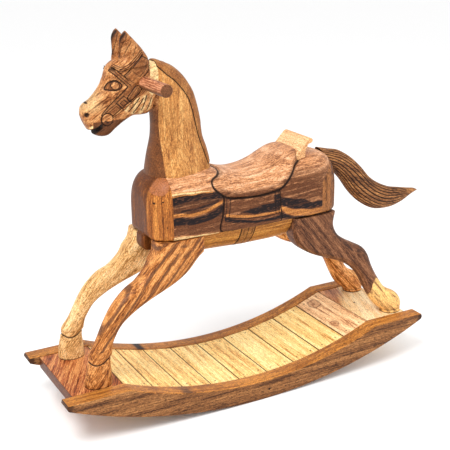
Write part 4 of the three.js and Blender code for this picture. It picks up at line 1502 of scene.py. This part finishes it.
# %% [markdown]
# Each board gets its own wood: its light, middle and dark tones, and what it changes in the recipe.
# Turns lay the grain along the board: the slats' grain runs across the deck, the neck's and chest's
# stand upright, and each leg's follows the leg's slope. The right hind leg has the left foreleg's
# wood, paler and turned to its own slope.
# %% Woods of the horse
QUARTER = math.pi / 2
CROSSWAYS, UPRIGHT = (0, 0, QUARTER), (0, QUARTER, 0)
FIGURED_LEG = {"pith": (0.05, 0.2), "rings": 52, "bend": 1.0, "contrast": 0.65}
WOODS = {
    "rocker_wood": ("a97545 865731 4a2b17", dict(
        pith=(0.1, 0.5), rings=30, contrast=0.45, pores=1.0, own=True, extra=tip_grain)),
    "deck_wood": ("ffe29e f6ca7c c4843c", dict(
        turn=CROSSWAYS, pith=(0.3, 0.2), rings=42, contrast=0.45, pores=0.3, own=True,
        extra=nails)),
    "pink_deck_wood": ("ffd6a2 f2bf8a a86c42", dict(
        turn=CROSSWAYS, pith=(0.2, 0.1), rings=40, own=True, extra=knotted)),
    "front_board_wood": ("cf8c54 a95d32 652e16", dict(
        turn=(0, 0, QUARTER + 0.5), pith=(0.02, 0.12), rings=40, bend=2.4, contrast=0.62,
        own=True, extra=dark_edge)),
    "rear_board_wood": ("d89c68 b67548 7a4628", dict(
        turn=(0, 0, QUARTER + 0.3), pith=(0.1, 0.2), rings=36, contrast=0.6, own=True,
        extra=half_sap)),
    "chest_wood": ("c07c3a 9a5925 643515", dict(
        turn=UPRIGHT, pith=(0.1, 0.5), rings=34, contrast=0.5, brown="582c0d", pale="a16442")),
    "barrel_wood": ("e6b28a c4885b 7e4e33", dict(
        turn=(0, 0.06, 0), pith=(0.0, 0.1), rings=60, contrast=0.45, brown="5c341c",
        heart="190f10", extra=amber)),
    "rump_wood": ("9c6436 7a4a25 482612", dict(
        turn=(0, QUARTER, 0.1), pith=(0.1, 0.5), rings=46, contrast=0.6)),
    "belly_wood": ("c48842 a1662c 6c3f19", dict(pith=(0.2, 0.1), rings=28, contrast=0.45)),
    "pale_wood": ("f0c28f dba673 ab7546", dict(
        turn=CROSSWAYS, pith=(0.4, 0.3), rings=40, contrast=0.4, pores=0.8)),
    "orange_leg_wood": ("d69354 ad6a32 683518", dict(turn=(0, 0.85, 0), **FIGURED_LEG)),
    "pale_leg_wood": ("f2cd96 dba96c 94622e", dict(
        turn=(0, 0.85, 0), pith=(0.3, 0.3), rings=30, contrast=0.5, pores=0.95)),
    "grey_leg_wood": ("8e5f40 69412a 3a2114", dict(
        turn=(0, -0.9, 0), pith=(0.0, 0.15), rings=44, bend=2.4, contrast=0.48,
        pale="ffc97c")),
    "head_wood": ("cb915b a36637 603214", dict(
        turn=(0, 0.55, 0), pith=(0.15, 0.3), rings=40, brown="6f4020", pale="ecca90")),
    "neck_wood": ("d29c5d b57a40 834f28", dict(
        turn=UPRIGHT, pith=(0.1, 0.35), rings=36, contrast=0.38, brown="7c4822")),
    "handle_wood": ("cf9069 9f6040 4e2618", dict(
        turn=CROSSWAYS, pith=(0.02, 0.03), rings=60, contrast=0.6)),
    "tail_wood": ("b27b48 885730 4e2e18", dict(
        turn=(0, -0.4, 0), pith=(0.2, 0.1), rings=34, contrast=0.5)),
}
woods = {slot: wood(slot, tones, **traits) for slot, (tones, traits) in WOODS.items()}
far_hind_wood = wood(
    "orange_leg_wood_far", "f0b06c d0894a 844a20", turn=(0, -0.85, 0), **FIGURED_LEG)
print("woods", len(woods))

# %% [markdown]
# Every piece now rides on the body, stands for its solid, and takes its board's wood. A piece whose
# box strays from its solid's by more than 3 mm is named.
# %% Dress the frame
DRIFT_LIMIT = 0.003
dressed = {
    "rocker_left": rocker_left, "rocker_right": rocker_right, "front_board": front_board,
    "rear_board": rear_board, "chest_block": chest, "barrel": barrel, "rump_block": rump,
    "belly_board": belly, "saddle_cantle": cantle, "foreleg_left": foreleg_left,
    "foreleg_right": foreleg_right, "hind_leg_left": hind_leg_left, "hind_leg_right": hind_leg_right,
    "head": head, "neck": neck, "handle": handle, "tail": tail,
}
dressed.update({f"deck_plank_{i + 1}": slat for i, slat in enumerate(slats)})
slot_of = {part["node"]: part["material_slot"] for part in frame["record"]["subparts"]}
for node, made in dressed.items():
    made.data.materials.clear()
    its_wood = far_hind_wood if node == "hind_leg_right" else woods[slot_of[node]]
    made.data.materials.append(its_wood)
    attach(made, "root")
    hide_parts(node)
    low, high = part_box(node)
    corners = np.array([made.matrix_world @ v.co for v in made.data.vertices])
    drift = max(np.abs(corners.min(0) - low).max(), np.abs(corners.max(0) - high).max())
    if drift > DRIFT_LIMIT:
        print(node, "box differs by", round(drift * 1000, 1), "mm")
print("dressed", len(dressed), "of", len(frame["nodes"]))

# %% [markdown]
# A plain pale floor and soft light, as in a studio: one large lamp high to the left front, a wide
# fill from the right, and a bright even sky that whitens the floor.
# %% Floor and light
FLOOR_REACH = 30
floor = bpy.data.meshes.new("floor")
corners = [(-FLOOR_REACH, -FLOOR_REACH, 0), (FLOOR_REACH, -FLOOR_REACH, 0),
           (FLOOR_REACH, FLOOR_REACH, 0), (-FLOOR_REACH, FLOOR_REACH, 0)]
floor.from_pydata(corners, [], [(0, 1, 2, 3)])
floor_object = bpy.data.objects.new("floor", floor)
scene.collection.objects.link(floor_object)
paper = Recipe("floor_paper")
paper.finish(Base_Color=(0.97, 0.97, 0.97, 1), Roughness=0.9)
floor.materials.append(paper.material)


def lamp(name, place, target, size, watts):
    data = bpy.data.lights.new(name, "AREA")
    data.shape = "DISK"
    data.size = size
    data.energy = watts
    made = bpy.data.objects.new(name, data)
    made.location = place
    made.rotation_euler = (Vector(target) - Vector(place)).to_track_quat("-Z", "Y").to_euler()
    scene.collection.objects.link(made)


lamp("key", place=(-1.7, -1.3, 3.0), target=(0, 0, 0.4), size=1.6, watts=78)
lamp("fill", place=(2.6, -2.2, 1.8), target=(0, 0, 0.4), size=2.5, watts=22)
world = bpy.data.worlds.new("studio")
scene.world = world
world.use_nodes = True
sky = world.node_tree.nodes["Background"]
sky.inputs["Color"].default_value = (1, 1, 1, 1)
sky.inputs["Strength"].default_value = 1.0
scene.view_settings.view_transform = "Standard"
print("lamps", 2)
